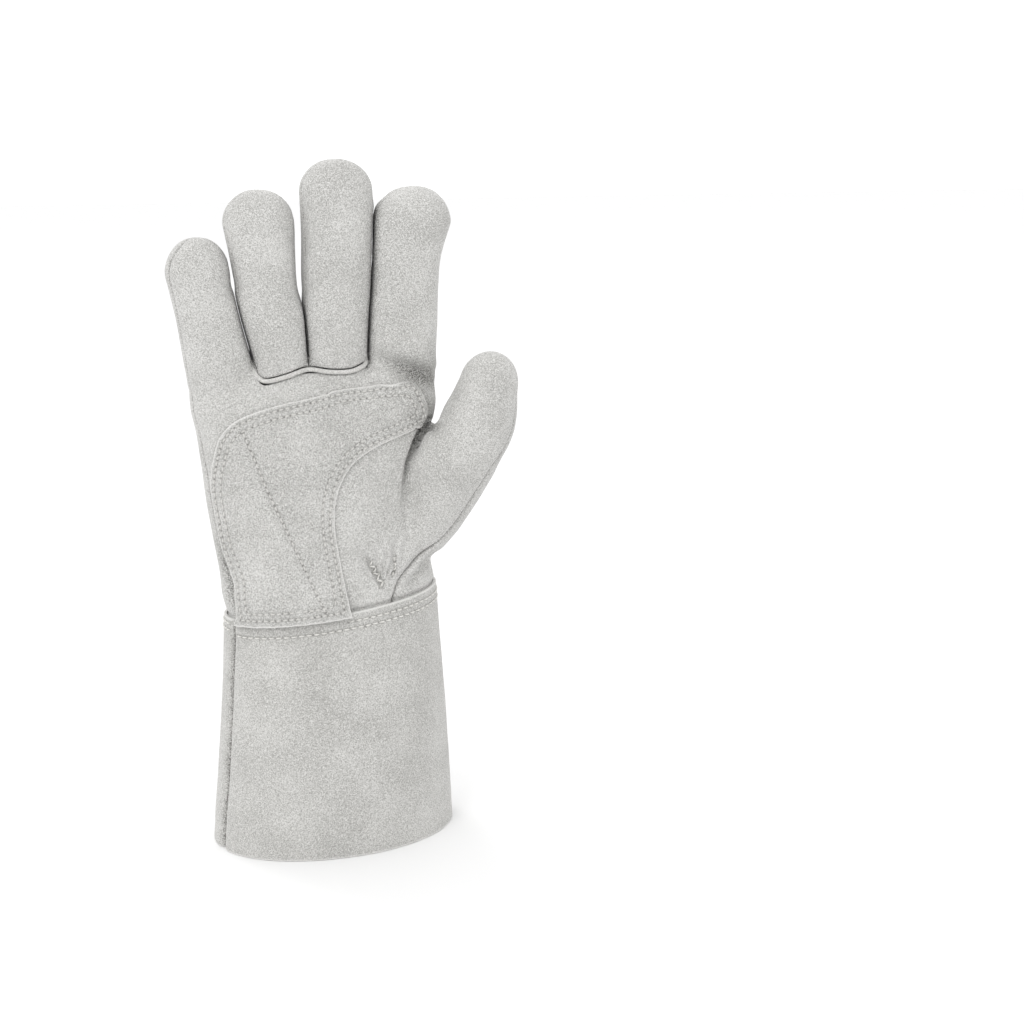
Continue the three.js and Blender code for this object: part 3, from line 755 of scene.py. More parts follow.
def outside(outline, p):
    """Distance of points from a closed outline in x and z, negative inside it."""
    a, b = outline, np.roll(outline, -1, axis=0)
    best = np.full(len(p), 1e9)
    crossings = np.zeros(len(p), int)
    for start, end in zip(a, b):
        edge = end - start
        share = np.clip(((p - start) @ edge) / max(edge @ edge, 1e-12), 0, 1)
        best = np.minimum(best, np.linalg.norm(p - start - share[:, None] * edge, axis=1))
        spans = (start[1] > p[:, 1]) != (end[1] > p[:, 1])
        with np.errstate(divide="ignore", invalid="ignore"):
            cross_x = start[0] + (p[:, 1] - start[1]) / (end[1] - start[1]) * edge[0]
        crossings += spans & (p[:, 0] < cross_x)
    return np.where(crossings % 2 == 1, -best, best)


def finger_of(x, z):
    """Number of the finger that a place belongs to."""
    return sum((x > slit_x(i, z)).astype(int) for i in range(3))


def side_seam_y(x, z):
    """Depth of the side seams."""
    lean = at(SIDE_SEAM, z)
    return np.where(x < 0, lean[1], lean[2]) * x


def finger_seam_y(x, z, towards_back):
    """Depth of the seams beside the strips between the fingers."""
    which = finger_of(x, z)
    result = np.zeros(len(x))
    for k, rows in enumerate(FINGERS):
        section = at(rows, z)
        side = (x - section[1]) / section[3]
        share = smoothstep(np.abs(side), *FINGER_SEAM_BLEND)
        point_z = rows[-1, 0] + TIP_HEIGHTS[k] - FOURCHETTE_POINT
        width = np.clip((point_z - z) / FOURCHETTE_TAPER, 0, 1) ** FOURCHETTE_NARROWING
        front = FOURCHETTE_FRONT * np.minimum(1, width + FOURCHETTE_LEAST)
        depth = front + (FOURCHETTE_BACK - front) * width if towards_back else front
        y = section[2] + share * depth
        outer = ((k == 0) & (side < 0)) | ((k == 3) & (side > 0))
        y = np.where(outer, section[2] + FINGER_SEAM_LEAN * x * share, y)
        result = np.where(which == k, y, result)
    return result


def hand_seam_y(x, z, towards_back):
    """Depth of the seams round the hand, which run up into those of the fingers."""
    blend = smoothstep(z, FINGER_SEAM_START, FINGER_SEAM_FULL)
    return side_seam_y(x, z) * (1 - blend) + finger_seam_y(x, z, towards_back) * blend


def front_seam(p):
    """Distance behind the seams of the palm's side."""
    return p[:, 1] - hand_seam_y(p[:, 0], p[:, 2], False)


def back_seam(p):
    """Distance behind the seams of the back, which pass behind the root of the thumb."""
    x, z = p[:, 0], p[:, 2]
    below = 1 - smoothstep(z, THUMB_ROOT_LOW, THUMB_ROOT_HIGH)
    return p[:, 1] - hand_seam_y(x, z, True) - below * np.maximum(0, x - THUMB_ROOT_X) * THUMB_ROOT_STEEP


def thumb_seam(p):
    """Distance behind the seam between the two parts of the thumb."""
    steps = np.linspace(0, THUMB[-1, 0], LINE_POINTS)
    rows = at(THUMB, steps)[1:].T
    way = np.gradient(rows[:, [0, 2]], axis=0)
    way /= np.linalg.norm(way, axis=1)[:, None]
    gap = p[:, None, [0, 2]] - rows[None, :, [0, 2]]
    nearest = np.argmin((gap**2).sum(axis=2), axis=1)
    rest = gap[np.arange(len(p)), nearest]
    outward = rest[:, 0] * way[nearest, 1] - rest[:, 1] * way[nearest, 0]
    upper = p[:, 1] - rows[nearest, 1] + outward * np.tan(np.radians(rows[nearest, 5]))
    lower = p[:, 0] - at(THUMB_OUTER_SEAM, p[:, 2])[1]
    share = smoothstep(p[:, 2], *THUMB_SEAM_JOIN)
    return lower * (1 - share) + upper * share


thumb_opening = curve(shifted(curve(PATCH_THUMB_CURVE, LINE_POINTS), -THUMB_SEAM_COVER), LINE_POINTS)
thumb_zone = np.concatenate([THUMB_WEB, thumb_opening, [[thumb_opening[-1, 0], THUMB_WEB[0, 1]]]])
base_line = curve(BASE_SEAM, LINE_POINTS)


def in_thumb_zone(p):
    """Distance outside the thumb's opening, which leans at the web to follow the crease."""
    lean = smoothstep(p[:, 2], *WEB_LEAN_RISE) * (p[:, 1] - WEB_LEAN_FROM)
    return outside(thumb_zone, np.stack([p[:, 0] - WEB_LEAN[0] * lean, p[:, 2] + WEB_LEAN[1] * lean], 1))


def above_base(p):
    """Height above the seam at the base of the two middle fingers."""
    return p[:, 2] - np.interp(p[:, 0], base_line[:, 0], base_line[:, 1])


# A corner this near to a cut, as a share of its edge, moves onto it, so that no sliver is left.
SNAP = 0.22


def cut(shape, name, value, on_faces=None):
    """Cuts a shape's faces where value changes sign, and keeps on each face the side that it lies on."""
    level = shape.verts.layers.float.new(name + "_level")
    side = shape.faces.layers.int.new(name)
    verts = list(shape.verts)
    p = np.array([v.co for v in verts]) / MM - GLOVE_ORIGIN
    for v, number in zip(verts, value(p)):
        v[level] = number
    faces = [f for f in shape.faces if on_faces is None or on_faces(f)]
    edges = each_once(e for f in faces for e in f.edges)
    for e in edges:
        a, b = e.verts
        if a[level] * b[level] < 0:
            share = a[level] / (a[level] - b[level])
            if share < SNAP or share > 1 - SNAP:
                near = a if share < SNAP else b
                near.co = a.co.lerp(b.co, share)
                near[level] = 0.0
    for e in edges:
        a, b = e.verts
        if a[level] * b[level] < 0:
            new_vert = bmesh.utils.edge_split(e, a, a[level] / (a[level] - b[level]))[1]
            new_vert[level] = 0.0
    faces = [f for f in shape.faces if on_faces is None or on_faces(f)]
    bmesh.ops.connect_verts(shape, verts=each_once(v for f in faces for v in f.verts if v[level] == 0))
    for f in shape.faces:
        f[side] = 1 if sum(v[level] for v in f.verts) > 0 else -1
    return side


def in_front(shape, name):
    """Tells of a face whether it lies on the negative side of a cut."""
    layer = shape.faces.layers.int[name]
    return lambda f: f[layer] < 0


shape = bmesh.new()
shape.from_mesh(form.data)
cut(shape, "lower", lambda p: p[:, 2] - HAND_LOWER_EDGE)
lower = shape.faces.layers.int["lower"]
bmesh.ops.delete(shape, geom=[f for f in shape.faces if f[lower] < 0], context="FACES")
cut(shape, "front", front_seam)
cut(shape, "back", back_seam)
before_back = in_front(shape, "back")
before_front = in_front(shape, "front")
cut(shape, "zone", in_thumb_zone, before_back)
zone = in_front(shape, "zone")
cut(shape, "thumb", thumb_seam, lambda f: before_back(f) and zone(f))


def near_base(f):
    """Tells whether a face lies round the base of the two middle fingers, on the palm side."""
    x, _, z = np.array(f.calc_center_median()) / MM - GLOVE_ORIGIN
    return before_front(f) and BASE_ZONE_X[0] < x < BASE_ZONE_X[1] and abs(z - BASE_ZONE_Z) < BASE_ZONE_HALF


cut(shape, "base", lambda p: above_base(p) + WELT_HALF, near_base)
cut(shape, "welt", lambda p: above_base(p) - WELT_HALF, near_base)
base = shape.faces.layers.int["base"]


def over_base(f):
    """Tells whether a face lies there above the lower edge of the welt."""
    return near_base(f) and f[base] > 0


for i in range(3):
    cut(shape, f"slit{i}", lambda p, i=i: p[:, 0] - slit_x(i, p[:, 2]), over_base)

PANELS = [
    "back_panel",
    "palm_panel",
    "ring_finger_front",
    "middle_finger_front",
    "fourchette_ring_little",
    "fourchette_middle_ring",
    "fourchette_index_middle",
    "thumb_front",
    "thumb_back",
    "welt_gap",
]
BACK = PANELS.index("back_panel")
PALM = PANELS.index("palm_panel")
FIRST_STRIP = PANELS.index("fourchette_ring_little")
THUMB_FRONT = PANELS.index("thumb_front")
THUMB_BACK = PANELS.index("thumb_back")
WELT_GAP = PANELS.index("welt_gap")


def panels_of(shape):
    """Number of the panel that each face belongs to."""
    side = {}
    for name in ("front", "back", "zone", "thumb"):
        layer = shape.faces.layers.int[name]
        side[name] = np.array([f[layer] for f in shape.faces])
    p = face_centres(shape)
    x, z = p[:, 0], p[:, 2]
    which = finger_of(x, z)
    section_x = np.choose(which, [at(rows, z)[1] for rows in FINGERS])
    crotch = np.clip(np.where(x > section_x, which, which - 1), 0, 2)
    inner = (which == 1) | (which == 2)
    front = np.where(inner & (above_base(p) > WELT_HALF), PALM + which, PALM)
    front = np.where(inner & (np.abs(above_base(p)) < WELT_HALF), WELT_GAP, front)
    thumb = np.where(side["thumb"] < 0, THUMB_FRONT, THUMB_BACK)
    number = np.where(side["front"] < 0, front, FIRST_STRIP + crotch)
    number = np.where(side["zone"] < 0, thumb, number)
    return np.where(side["back"] > 0, BACK, number)


panel = shape.faces.layers.int.new("panel")
for f, number in zip(shape.faces, panels_of(shape)):
    f[panel] = int(number)

# Points along a seam stand this far apart.
SEAM_STEP = 0.4


def tree_of(points):
    """A search tree of points."""
    tree = KDTree(len(points))
    for i, point in enumerate(points):
        tree.insert(point, i)
    tree.balance()
    return tree


def nearest(tree, points):
    """Distance of points from the nearest point in a tree."""
    return np.array([tree.find(p)[2] for p in points])


def points_along(edges, step):
    """Points along edges, no further apart than a step."""
    found = []
    for e in edges:
        a, b = e.verts
        count = max(1, int(math.ceil((a.co - b.co).length / (step * MM))))
        found.extend(a.co.lerp(b.co, k / count) for k in range(count + 1))
    return np.array(found) / MM - GLOVE_ORIGIN


def seam_tree(shape, layer):
    """A search tree of points along the edges between different panels, with the fingers fanned out."""
    met = [e for e in shape.edges if len(e.link_faces) == 2]
    seams = [e for e in met if e.link_faces[0][layer] != e.link_faces[1][layer]]
    return tree_of(fanned(points_along(seams, SEAM_STEP)))


# Finer faces beside the seams, for the rolled edges, in two rounds: reach from a seam and longest edge left
SEAM_ROUNDS = ((2.3, 0.8), (1.0, 0.42))
for reach, longest in SEAM_ROUNDS:
    gaps = nearest(seam_tree(shape, panel), fanned(face_centres(shape)))
    make_finer(shape, [f for f, gap in zip(shape.faces, gaps) if gap < reach], longest)

# The rolled edges. The seams at the heel of the hand and outside the thumb lie deeper, between these heights.
SEAM_ROLL = 1.3
SEAM_DIP = 0.5
SEAM_DIP_REACH = 3.0
SEAM_HALF_GAP = 0.14
LEATHER = 1.3
HEEL_X = -35.0
HEEL_SPAN = ([120.0, 130.0], [146.0, 168.0])
HEEL_DIP = 3.6
HEEL_DIP_REACH = 4.0
THUMB_SEAM_X = 25.0
THUMB_SEAM_SPAN = ([126.0, 132.0], [200.0, 235.0])
THUMB_SEAM_DIP = 0.9
THUMB_SEAM_DIP_REACH = 1.1
# Painted shade along every seam, and a wider, darker band of it at the heel of the hand between these heights
SEAM_SHADE = 0.4
SEAM_SHADE_REACH = 0.7
HEEL_SHADE_SPAN = ([118.0, 132.0], [146.0, 170.0])
HEEL_SHADE = 1.5
HEEL_SHADE_REACH = 4.6


def roll_depth(distance, radius=SEAM_ROLL, dip=SEAM_DIP):
    """Depth at a distance from a seam: a quarter circle at the edge, and a soft dip round it."""
    inside = np.clip(radius - distance, 0, radius)
    roll = radius - np.sqrt(radius**2 - inside**2)
    return roll + dip * bell(distance, SEAM_DIP_REACH)


def deeper_seam(distance, p):
    """The extra depth of the seam at the heel of the hand, and of the seam along the outside of the thumb."""
    x, y, z = p.T
    heel = span(z, *HEEL_SPAN) * (x < HEEL_X)
    thumb = span(z, *THUMB_SEAM_SPAN) * (x > THUMB_SEAM_X) * (y < 0)
    at_thumb = thumb * THUMB_SEAM_DIP * bell(distance, THUMB_SEAM_DIP_REACH)
    return heel * HEEL_DIP * bell(distance, HEEL_DIP_REACH) + at_thumb


def shade_of_seam(distance, p):
    """Painted shade along the seams; the one at the heel of the hand takes the most."""
    heel = span(p[:, 2], *HEEL_SHADE_SPAN) * (p[:, 0] < HEEL_X)
    at_heel = heel * HEEL_SHADE * bell(distance, HEEL_SHADE_REACH)
    return np.maximum(SEAM_SHADE * bell(distance, SEAM_SHADE_REACH), at_heel)


def points_in(shape):
    """Points of a shape in the glove's own millimetres."""
    return np.array([v.co for v in shape.verts]) / MM - GLOVE_ORIGIN


shape.normal_update()
normals = [v.normal.copy() for v in shape.verts]
places = points_in(shape)
gaps = nearest(seam_tree(shape, panel), fanned(places))
for v, normal, depth in zip(shape.verts, normals, roll_depth(gaps) + deeper_seam(gaps, places)):
    v.co -= normal * float(depth) * MM
# Painted shade along the seams, kept at the points for the panels' finish
seam_shade = shape.verts.layers.float.new("seam_shade")
for v, shade in zip(shape.verts, shade_of_seam(gaps, places)):
    v[seam_shade] = float(shade)

# Each panel becomes a piece of its own, a little apart from its neighbours
for f in shape.faces:
    f.material_index = f[panel]
mesh = bpy.data.meshes.new("hand_panels")
shape.to_mesh(mesh)
hand = bpy.data.objects.new("hand_panels", mesh)
bpy.context.scene.collection.objects.link(hand)
for name in PANELS:
    mesh.materials.append(bpy.data.materials.new(name))
only(hand)
bpy.ops.object.mode_set(mode="EDIT")
bpy.ops.mesh.select_all(action="SELECT")
bpy.ops.mesh.separate(type="MATERIAL")
bpy.ops.object.mode_set(mode="OBJECT")


def draw_in_border(piece, gap):
    """Moves the border of an open sheet inwards, along the sheet."""
    sheet = bmesh.new()
    sheet.from_mesh(piece.data)
    for v in [v for v in sheet.verts if v.is_boundary]:
        inner = sum((f.calc_center_median() for f in v.link_faces), Vector()) / len(v.link_faces) - v.co
        if inner.length > 0:
            v.co += inner.normalized() * gap * MM
    sheet.to_mesh(piece.data)
    sheet.free()


def finish_piece(piece, name, finish, angle=50):
    """Names a finished piece, gives it its material, and ties it to the solid that it stands for."""
    piece.name = name + "_leather" if name in frame["nodes"] else name
    piece.data.name = piece.name
    piece.data.materials.clear()
    piece.data.materials.append(finish)
    only(piece)
    bpy.ops.object.shade_smooth_by_angle(angle=math.radians(angle))
    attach(piece, "root")
    if name in frame["nodes"]:
        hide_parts(name)


class Number:
    """A shader socket that carries a number or a colour. Python's operators on it add Math nodes."""

    def __init__(self, finish, socket):
        self.finish = finish
        self.socket = socket

    def joined(self, operation, a, b):
        """Adds a Math node on two sockets or numbers."""
        return self.finish.node("ShaderNodeMath", {"operation": operation}, {0: a, 1: b})

    def __add__(self, other):
        return self.joined("ADD", self, other)

    def __radd__(self, other):
        return self.joined("ADD", other, self)

    def __sub__(self, other):
        return self.joined("SUBTRACT", self, other)

    def __rsub__(self, other):
        return self.joined("SUBTRACT", other, self)

    def __mul__(self, other):
        return self.joined("MULTIPLY", self, other)

    def __rmul__(self, other):
        return self.joined("MULTIPLY", other, self)


class Finish:
    """A material under construction."""

    def __init__(self, name):
        self.material = bpy.data.materials.new(name)
        self.material.use_nodes = True
        self.tree = self.material.node_tree
        self.tree.nodes.clear()

    def node(self, kind, settings=None, inputs=None, output=0):
        """Adds a node: its settings first, then the values or links of its sockets."""
        made = self.tree.nodes.new(kind)
        for key, value in (settings or {}).items():
            if key == "stops":
                for i, (place, colour) in enumerate(value):
                    element = made.color_ramp.elements[i] if i < 2 else made.color_ramp.elements.new(place)
                    element.position = place
                    element.color = colour
            else:
                setattr(made, key, value)
        for key, value in (inputs or {}).items():
            if isinstance(value, Number):
                self.tree.links.new(value.socket, made.inputs[key])
            else:
                made.inputs[key].default_value = value
        return Number(self, made.outputs[output]) if made.outputs else None

    def blend(self, share, first, second):
        """Mixes two colours."""
        return self.node("ShaderNodeMix", {"data_type": "RGBA"}, {0: share, 6: first, 7: second}, output=2)

    def attribute(self, name):
        """A number that the mesh carries at its points."""
        return self.node("ShaderNodeAttribute", {"attribute_name": name}, output="Fac")

    def noise(self, place, scale, detail, roughness=0.5, distortion=0.0):
        """Cloudy noise from 0 to 1."""
        inputs = {"Vector": place, "Scale": scale, "Detail": detail, "Roughness": roughness}
        inputs["Distortion"] = distortion
        return self.node("ShaderNodeTexNoise", None, inputs)


def grey(value, warm=0.0):
    """A linear colour from a grey of 0 to 255 as a picture has it, a little warmer or cooler."""
    levels = [(value + warm) / 255, value / 255, (value - 3.5 * warm) / 255]
    return [((c + 0.055) / 1.055) ** 2.4 if c > 0.04045 else c / 12.92 for c in levels] + [1.0]


# The nap: shares of its patches, tufts and fibres, and where in their mix it is darkest and lightest
NAP_SHARES = (0.12, 0.46, 0.42)
NAP_ENDS = (0.415, 0.585)

# How strongly painted shade shows in folds and seams, and how much less on light fibres, then cut edges and
# the painted shade of needle holes
FOLD_SHADE_STRENGTH = 3.6
FOLD_SHADE_UNEVENNESS = 6.4
EDGE_STRENGTH = 0.75
HOLE_SHADE_STRENGTH = 0.34


def suede(name, light, dark, nap=1.0):
    """Brushed split leather: a short matt nap with soft light and dark patches."""
    finish = Finish(name)
    place = finish.node("ShaderNodeTexCoord", output="Object")
    patches = finish.noise(place, scale=38.0, detail=1.5)
    tufts = finish.noise(place, scale=1650.0, detail=1.0, roughness=0.6, distortion=0.6)
    fibres = finish.noise(place, scale=2500.0, detail=1.0, roughness=0.7)
    mix = patches * NAP_SHARES[0] + tufts * NAP_SHARES[1] + fibres * NAP_SHARES[2]
    stops = [(NAP_ENDS[0], dark), (NAP_ENDS[1], light)]
    colour = finish.node("ShaderNodeValToRGB", {"stops": stops}, {0: mix})
    # Painted shade in folds, slits and seams: a dark grey blended in, less on light fibres
    fold = finish.attribute("fold_shade") * (FOLD_SHADE_STRENGTH - mix * FOLD_SHADE_UNEVENNESS)
    colour = finish.blend(fold, colour, grey(84, 1.2))
    colour = finish.blend(finish.attribute("cut_edge") * EDGE_STRENGTH, colour, grey(224, 0.8))
    # Painted shade in the needle holes
    colour = finish.blend(finish.attribute("needle_hole") * HOLE_SHADE_STRENGTH, colour, grey(100, 1.5))
    bump = finish.node(
        "ShaderNodeBump", None,
        {"Strength": 0.8 * nap, "Distance": 0.0006, "Height": fibres * 0.4 + tufts * 0.6},
    )
    shader = finish.node(
        "ShaderNodeBsdfPrincipled", None,
        {
            "Base Color": colour,
            "Roughness": 0.92,
            "Specular IOR Level": 0.25,
            "Sheen Weight": 0.25,
            "Sheen Roughness": 0.5,
            "Normal": bump,
        },
    )
    finish.node("ShaderNodeOutputMaterial", None, {"Surface": shader})
    return finish.material


hand_suede = suede("hand suede", grey(211, 0.7), grey(152, 0.9))


def mark(piece, name, values):
    """Gives a mesh's points a number that its finish reads."""
    layer = piece.data.attributes.new(name, "FLOAT", "POINT")
    layer.data.foreach_set("value", values.astype(np.float32))


# Painted shade in the folds: how deep a fold is for its full shade, the slits between the fingers, and lines
# of painted shade beyond the folds' own. Nothing behind the middle of the hand takes any.
FULL_FOLD = 8.5
MOST_SHADE = 1.4
SHADE_BEFORE_Y = 4.0
SLIT_SHADE = 1.3
SLIT_SHADE_REACH = 1.6
SLIT_SHADE_FOOT = [244.0, 250.0]
SLIT_SHADE_FADE = 8.0
INDEX_SHADE = np.array([
    [29.0, 251.5, 0.3, 2.5],
    [34.0, 250.5, 2.2, 4.0],
    [41.0, 248.4, 3.4, 5.5],
    [48.0, 244.6, 2.2, 5.5],
    [55.0, 239.0, 0.4, 4.5],
])
WEB_SHADE = np.array([
    [48.9, 216.0, 8.0, 1.6],
    [52.4, 217.6, 11.0, 2.0],
    [54.8, 219.2, 6.0, 1.2],
])
CORNER_SHADE = np.array([
    [46.6, 235.4, 1.0, 1.2],
    [49.0, 231.8, 6.0, 1.2],
    [51.6, 226.6, 6.0, 1.3],
    [52.4, 223.4, 2.0, 1.3],
])


def paint_fold_shade(piece, folds):
    """Paints shade into deep folds, beside the slits between the fingers and along the seams."""
    p = points_of(piece)
    x, z = p[:, 0], p[:, 2]
    shade = sum(np.maximum(line_depth(fold, x, z), 0) for fold in folds) / FULL_FOLD
    for i in range(3):
        along = span(z, SLIT_SHADE_FOOT, [TOUCH_TOP[i] - SLIT_SHADE_FADE, TOUCH_TOP[i]])
        shade = np.maximum(shade, SLIT_SHADE * along * bell(x - slit_x(i, z), SLIT_SHADE_REACH))
    shade = np.clip(shade, 0, MOST_SHADE) * (p[:, 1] < SHADE_BEFORE_Y)
    if "seam_shade" in piece.data.attributes:
        sewn = np.zeros(len(p), np.float32)
        piece.data.attributes["seam_shade"].data.foreach_get("value", sewn)
        shade = np.maximum(shade, sewn)
    mark(piece, "fold_shade", shade)


for piece in [o for o in bpy.context.scene.objects if o.name.startswith("hand_panels")]:
    name = piece.data.materials[piece.data.polygons[0].material_index].name
    if name == "welt_gap":
        bpy.data.objects.remove(piece)
        continue
    draw_in_border(piece, SEAM_HALF_GAP)
    apply_modifier(piece, "SOLIDIFY", thickness=LEATHER * MM, offset=-1.0)
    # Painted shade in the folds, beside the slits and along the seams
    paint_fold_shade(piece, FOLDS + THUMB_FOLDS + [INDEX_SHADE, CORNER_SHADE, WEB_SHADE])
    finish_piece(piece, name, hand_suede)


# Cuff
# The long cuff is cut from thicker split leather, in a palm and a back panel with a turned seam at each side.
# Its edges are cut and left raw, and its top edge lies over the hand and is sewn down with two rows.

# Sections, with the same columns as the hand's
CUFF = np.array([
    [0, -0.1, -2.8, 64.6, 45.6, 37.0, 10, 2.05],
    [42, 0.9, -1.8, 61.8, 43.4, 35.0, 10, 2.05],
    [84, 1.4, -0.8, 58.9, 40.8, 33.0, 10, 2.1],
    [112, 1.3, 0.0, 56.9, 38.4, 31.4, 10, 2.15],
    [140, 1.0, 0.0, 55.4, 36.4, 29.8, 10, 2.2],
])
CUFF_WALL = 1.6
CUFF_SEAM_TURN = 20.5

# Waves of the free leather: height and wavelength, and how far below the top edge they begin
CUFF_WAVES = np.array([
    [0.7, 60.0],
    [0.35, 24.0],
    [0.1, 7.0],
])
CUFF_WAVES_BEGIN = [6.0, 26.0]

# The turned seams, and the painted shade along them, which is uneven and stronger on the little finger's side
CUFF_ROLL = 2.4
CUFF_DIP = 1.2
CUFF_HALF_GAP = 0.2
CUFF_SEAM_SHADE = 2.1
CUFF_SHADE_WAVES = [[0.7, 5.0], [0.4, 2.0]]
CUFF_SHADES = [1.4, 0.8]
RIM_ROUGHNESS = 0.35
RIM_RHYTHM = 0.9

# Faces of a panel: fine steps at the seam or the top edge, coarse steps, and how far the fine ones reach
COLUMN_STEPS = (0.35, 0.85, 2.6)
ROW_STEPS = (0.4, 1.4, 10.0)
STEP_GROWTH = 0.25
LEAST_STEP = 0.3
HALF_ARC = 86.0
CUFF_SIDES = 720
CUFF_HIGHEST = 142.0
CUFF_LEVELS = 72
TOP_EDGE_TURNS = 4


def spread(fine, coarse, fine_reach, length):
    """Distances from 0 to a length, closer together at the start."""
    places = [0.0]
    while places[-1] < length:
        grown = fine + (places[-1] - fine_reach) * STEP_GROWTH
        places.append(places[-1] + (fine if places[-1] < fine_reach else min(coarse, grown)))
    kept = places[:-1] if length - places[-2] > LEAST_STEP * fine else places[:-2]
    return np.array(kept + [length])


def cuff_arc(z, palm_side, shares):
    """Points round one panel of the cuff at one height, and their distances from its two seams."""
    points = ring(at(CUFF, z), CUFF_SIDES)
    value = (points[:, 1] - math.tan(math.radians(CUFF_SEAM_TURN)) * points[:, 0]) * (1 if palm_side else -1)
    start = int(np.flatnonzero((value >= 0) & (np.roll(value, -1) < 0))[0])
    points, value = np.roll(points, -start, axis=0), np.roll(value, -start)
    count = int((value < 0).sum())
    first = points[0] + (points[1] - points[0]) * value[0] / (value[0] - value[1])
    after = (count + 1) % len(points)
    last = points[count] + (points[after] - points[count]) * value[count] / (value[count] - value[after])
    arc = np.concatenate([[first], points[1:count + 1], [last]])
    reach = np.concatenate([[0], np.cumsum(np.linalg.norm(np.diff(arc, axis=0), axis=1))])
    places = CUFF_HALF_GAP + shares * (reach[-1] - 2 * CUFF_HALF_GAP)
    found = np.stack([np.interp(places, reach, arc[:, k]) for k in range(3)], 1)
    return found, np.minimum(places, reach[-1] - places) - CUFF_HALF_GAP


def cuff_sheet(palm_side):
    """Rows of points from the top edge of one cuff panel down to its rim."""
    half = spread(*COLUMN_STEPS, HALF_ARC)
    shares = np.concatenate([half, 2 * HALF_ARC - half[-2::-1]]) / (2 * HALF_ARC)
    levels = np.linspace(0, CUFF_HIGHEST, CUFF_LEVELS)
    arcs, gaps = zip(*[cuff_arc(z, palm_side, shares) for z in levels])
    arcs, gaps = np.array(arcs), np.array(gaps)
    down = spread(*ROW_STEPS, CUFF_TOP)
    sheet = np.zeros((len(down), len(shares), 3))
    seam_gap = np.zeros((len(down), len(shares)))
    for c in range(len(shares)):
        # The top edge slants, so its height and its x are found in turns
        top = CUFF_TOP
        for _ in range(TOP_EDGE_TURNS):
            top = CUFF_TOP + CUFF_TOP_SLOPE * np.interp(top, levels, arcs[:, c, 0])
        z = top * (1 - down / CUFF_TOP)
        sheet[:, c, 0] = np.interp(z, levels, arcs[:, c, 0])
        sheet[:, c, 1] = np.interp(z, levels, arcs[:, c, 1])
        sheet[:, c, 2] = z
        seam_gap[:, c] = np.interp(z, levels, gaps[:, c])
    return sheet, seam_gap, down


def grid_faces(rows, columns):
    """Faces of a sheet whose points stand in rows."""
    faces = []
    for r in range(rows - 1):
        for c in range(columns - 1):
            i = r * columns + c
            faces.append((i, i + columns, i + columns + 1, i + 1))
    return faces


# Stitches
# Spun off-white thread in lockstitch. It shows as short lengths that dive into a needle hole at both ends,
# and the leather is drawn in along the row.
STITCH_PITCH = 3.3
CUFF_PITCH = 3.8
THREAD_RADIUS = 0.42
THREAD_RISE = -0.08
ROW_SAMPLE = 0.4

# One stitch: place along it, height, and thickness of its thread
STITCH_PROFILE = np.array([
    [0.15, -0.55, 0.5],
    [0.22, -0.2, 0.8],
    [0.34, 0.02, 1.0],
    [0.5, 0.1, 1.05],
    [0.66, 0.02, 1.0],
    [0.78, -0.2, 0.8],
    [0.85, -0.55, 0.5],
])
STITCH_SIDES = 6
HOLE_DEPTH = 0.6
HOLE_RADIUS = 0.6
# How far the painted shade of a needle hole reaches
HOLE_SHADE_RADIUS = 0.55
ROW_DEPTH = 0.3
ROW_HALF_WIDTH = 1.0

# A cut edge shows the pale inside of the leather, is a little worn round, and may swell beside its stitches.
EDGE_MARK = [0.25, 1.2]
EDGE_WEAR = 0.3
EDGE_WEAR_REACH = 0.45
SWELL_PLACE = 1.4
SWELL_HALF_WIDTH = 0.75


def unit(vectors):
    """Vectors brought to length 1."""
    return vectors / np.maximum(np.linalg.norm(vectors, axis=-1, keepdims=True), 1e-9)


def turn_outwards(piece):
    """Turns a closed mesh's faces outwards."""
    shell = bmesh.new()
    shell.from_mesh(piece.data)
    bmesh.ops.recalc_face_normals(shell, faces=shell.faces)
    shell.to_mesh(piece.data)
    shell.free()


class Seam:
    """Rows of stitches, gathered to be made into one piece, with the needle holes that they leave."""

    def __init__(self):
        self.points = []
        self.faces = []
        self.holes = []
        self.lines = []

    def sew(self, line, normals, pitch=STITCH_PITCH, rise=THREAD_RISE):
        """One row along a line on a surface; rise tells how proud its thread stands."""
        reach = np.concatenate([[0], np.cumsum(np.linalg.norm(np.diff(line, axis=0), axis=1))])
        if reach[-1] < pitch:
            return
        count = max(1, int(round(reach[-1] / pitch)))

        def sample(places):
            p = np.stack([np.interp(places, reach, line[:, k]) for k in range(3)], 1)
            n = np.stack([np.interp(places, reach, normals[:, k]) for k in range(3)], 1)
            return p, unit(n)

        holes = np.linspace(0, reach[-1], count + 1)
        self.holes.extend(sample(holes)[0])
        self.lines.append(sample(np.arange(0, reach[-1], ROW_SAMPLE))[0])
        for a, b in zip(holes, holes[1:]):
            centres, ups = sample(a + (b - a) * STITCH_PROFILE[:, 0])
            ways = unit(np.gradient(centres, axis=0))
            sides = unit(np.cross(ways, ups))
            base = len(self.points)
            for centre_point, up, side, (_, lift, thick) in zip(centres, ups, sides, STITCH_PROFILE):
                for k in range(STITCH_SIDES):
                    angle = (k + 0.5) / STITCH_SIDES * 2 * math.pi
                    round_it = side * math.cos(angle) + up * math.sin(angle)
                    self.points.append(centre_point + up * (lift + rise) + round_it * THREAD_RADIUS * thick)
            rings = len(STITCH_PROFILE)
            for r in range(rings - 1):
                for k in range(STITCH_SIDES):
                    j = (k + 1) % STITCH_SIDES
                    low, high = base + r * STITCH_SIDES, base + (r + 1) * STITCH_SIDES
                    self.faces.append((low + k, low + j, high + j, high + k))
            self.faces.append(tuple(base + k for k in range(STITCH_SIDES - 1, -1, -1)))
            self.faces.append(tuple(base + (rings - 1) * STITCH_SIDES + k for k in range(STITCH_SIDES)))

    def make(self, name, finish):
        """Makes one piece of all the stitches."""
        piece = new_object(name, self.points, self.faces)
        turn_outwards(piece)
        finish_piece(piece, name, finish)


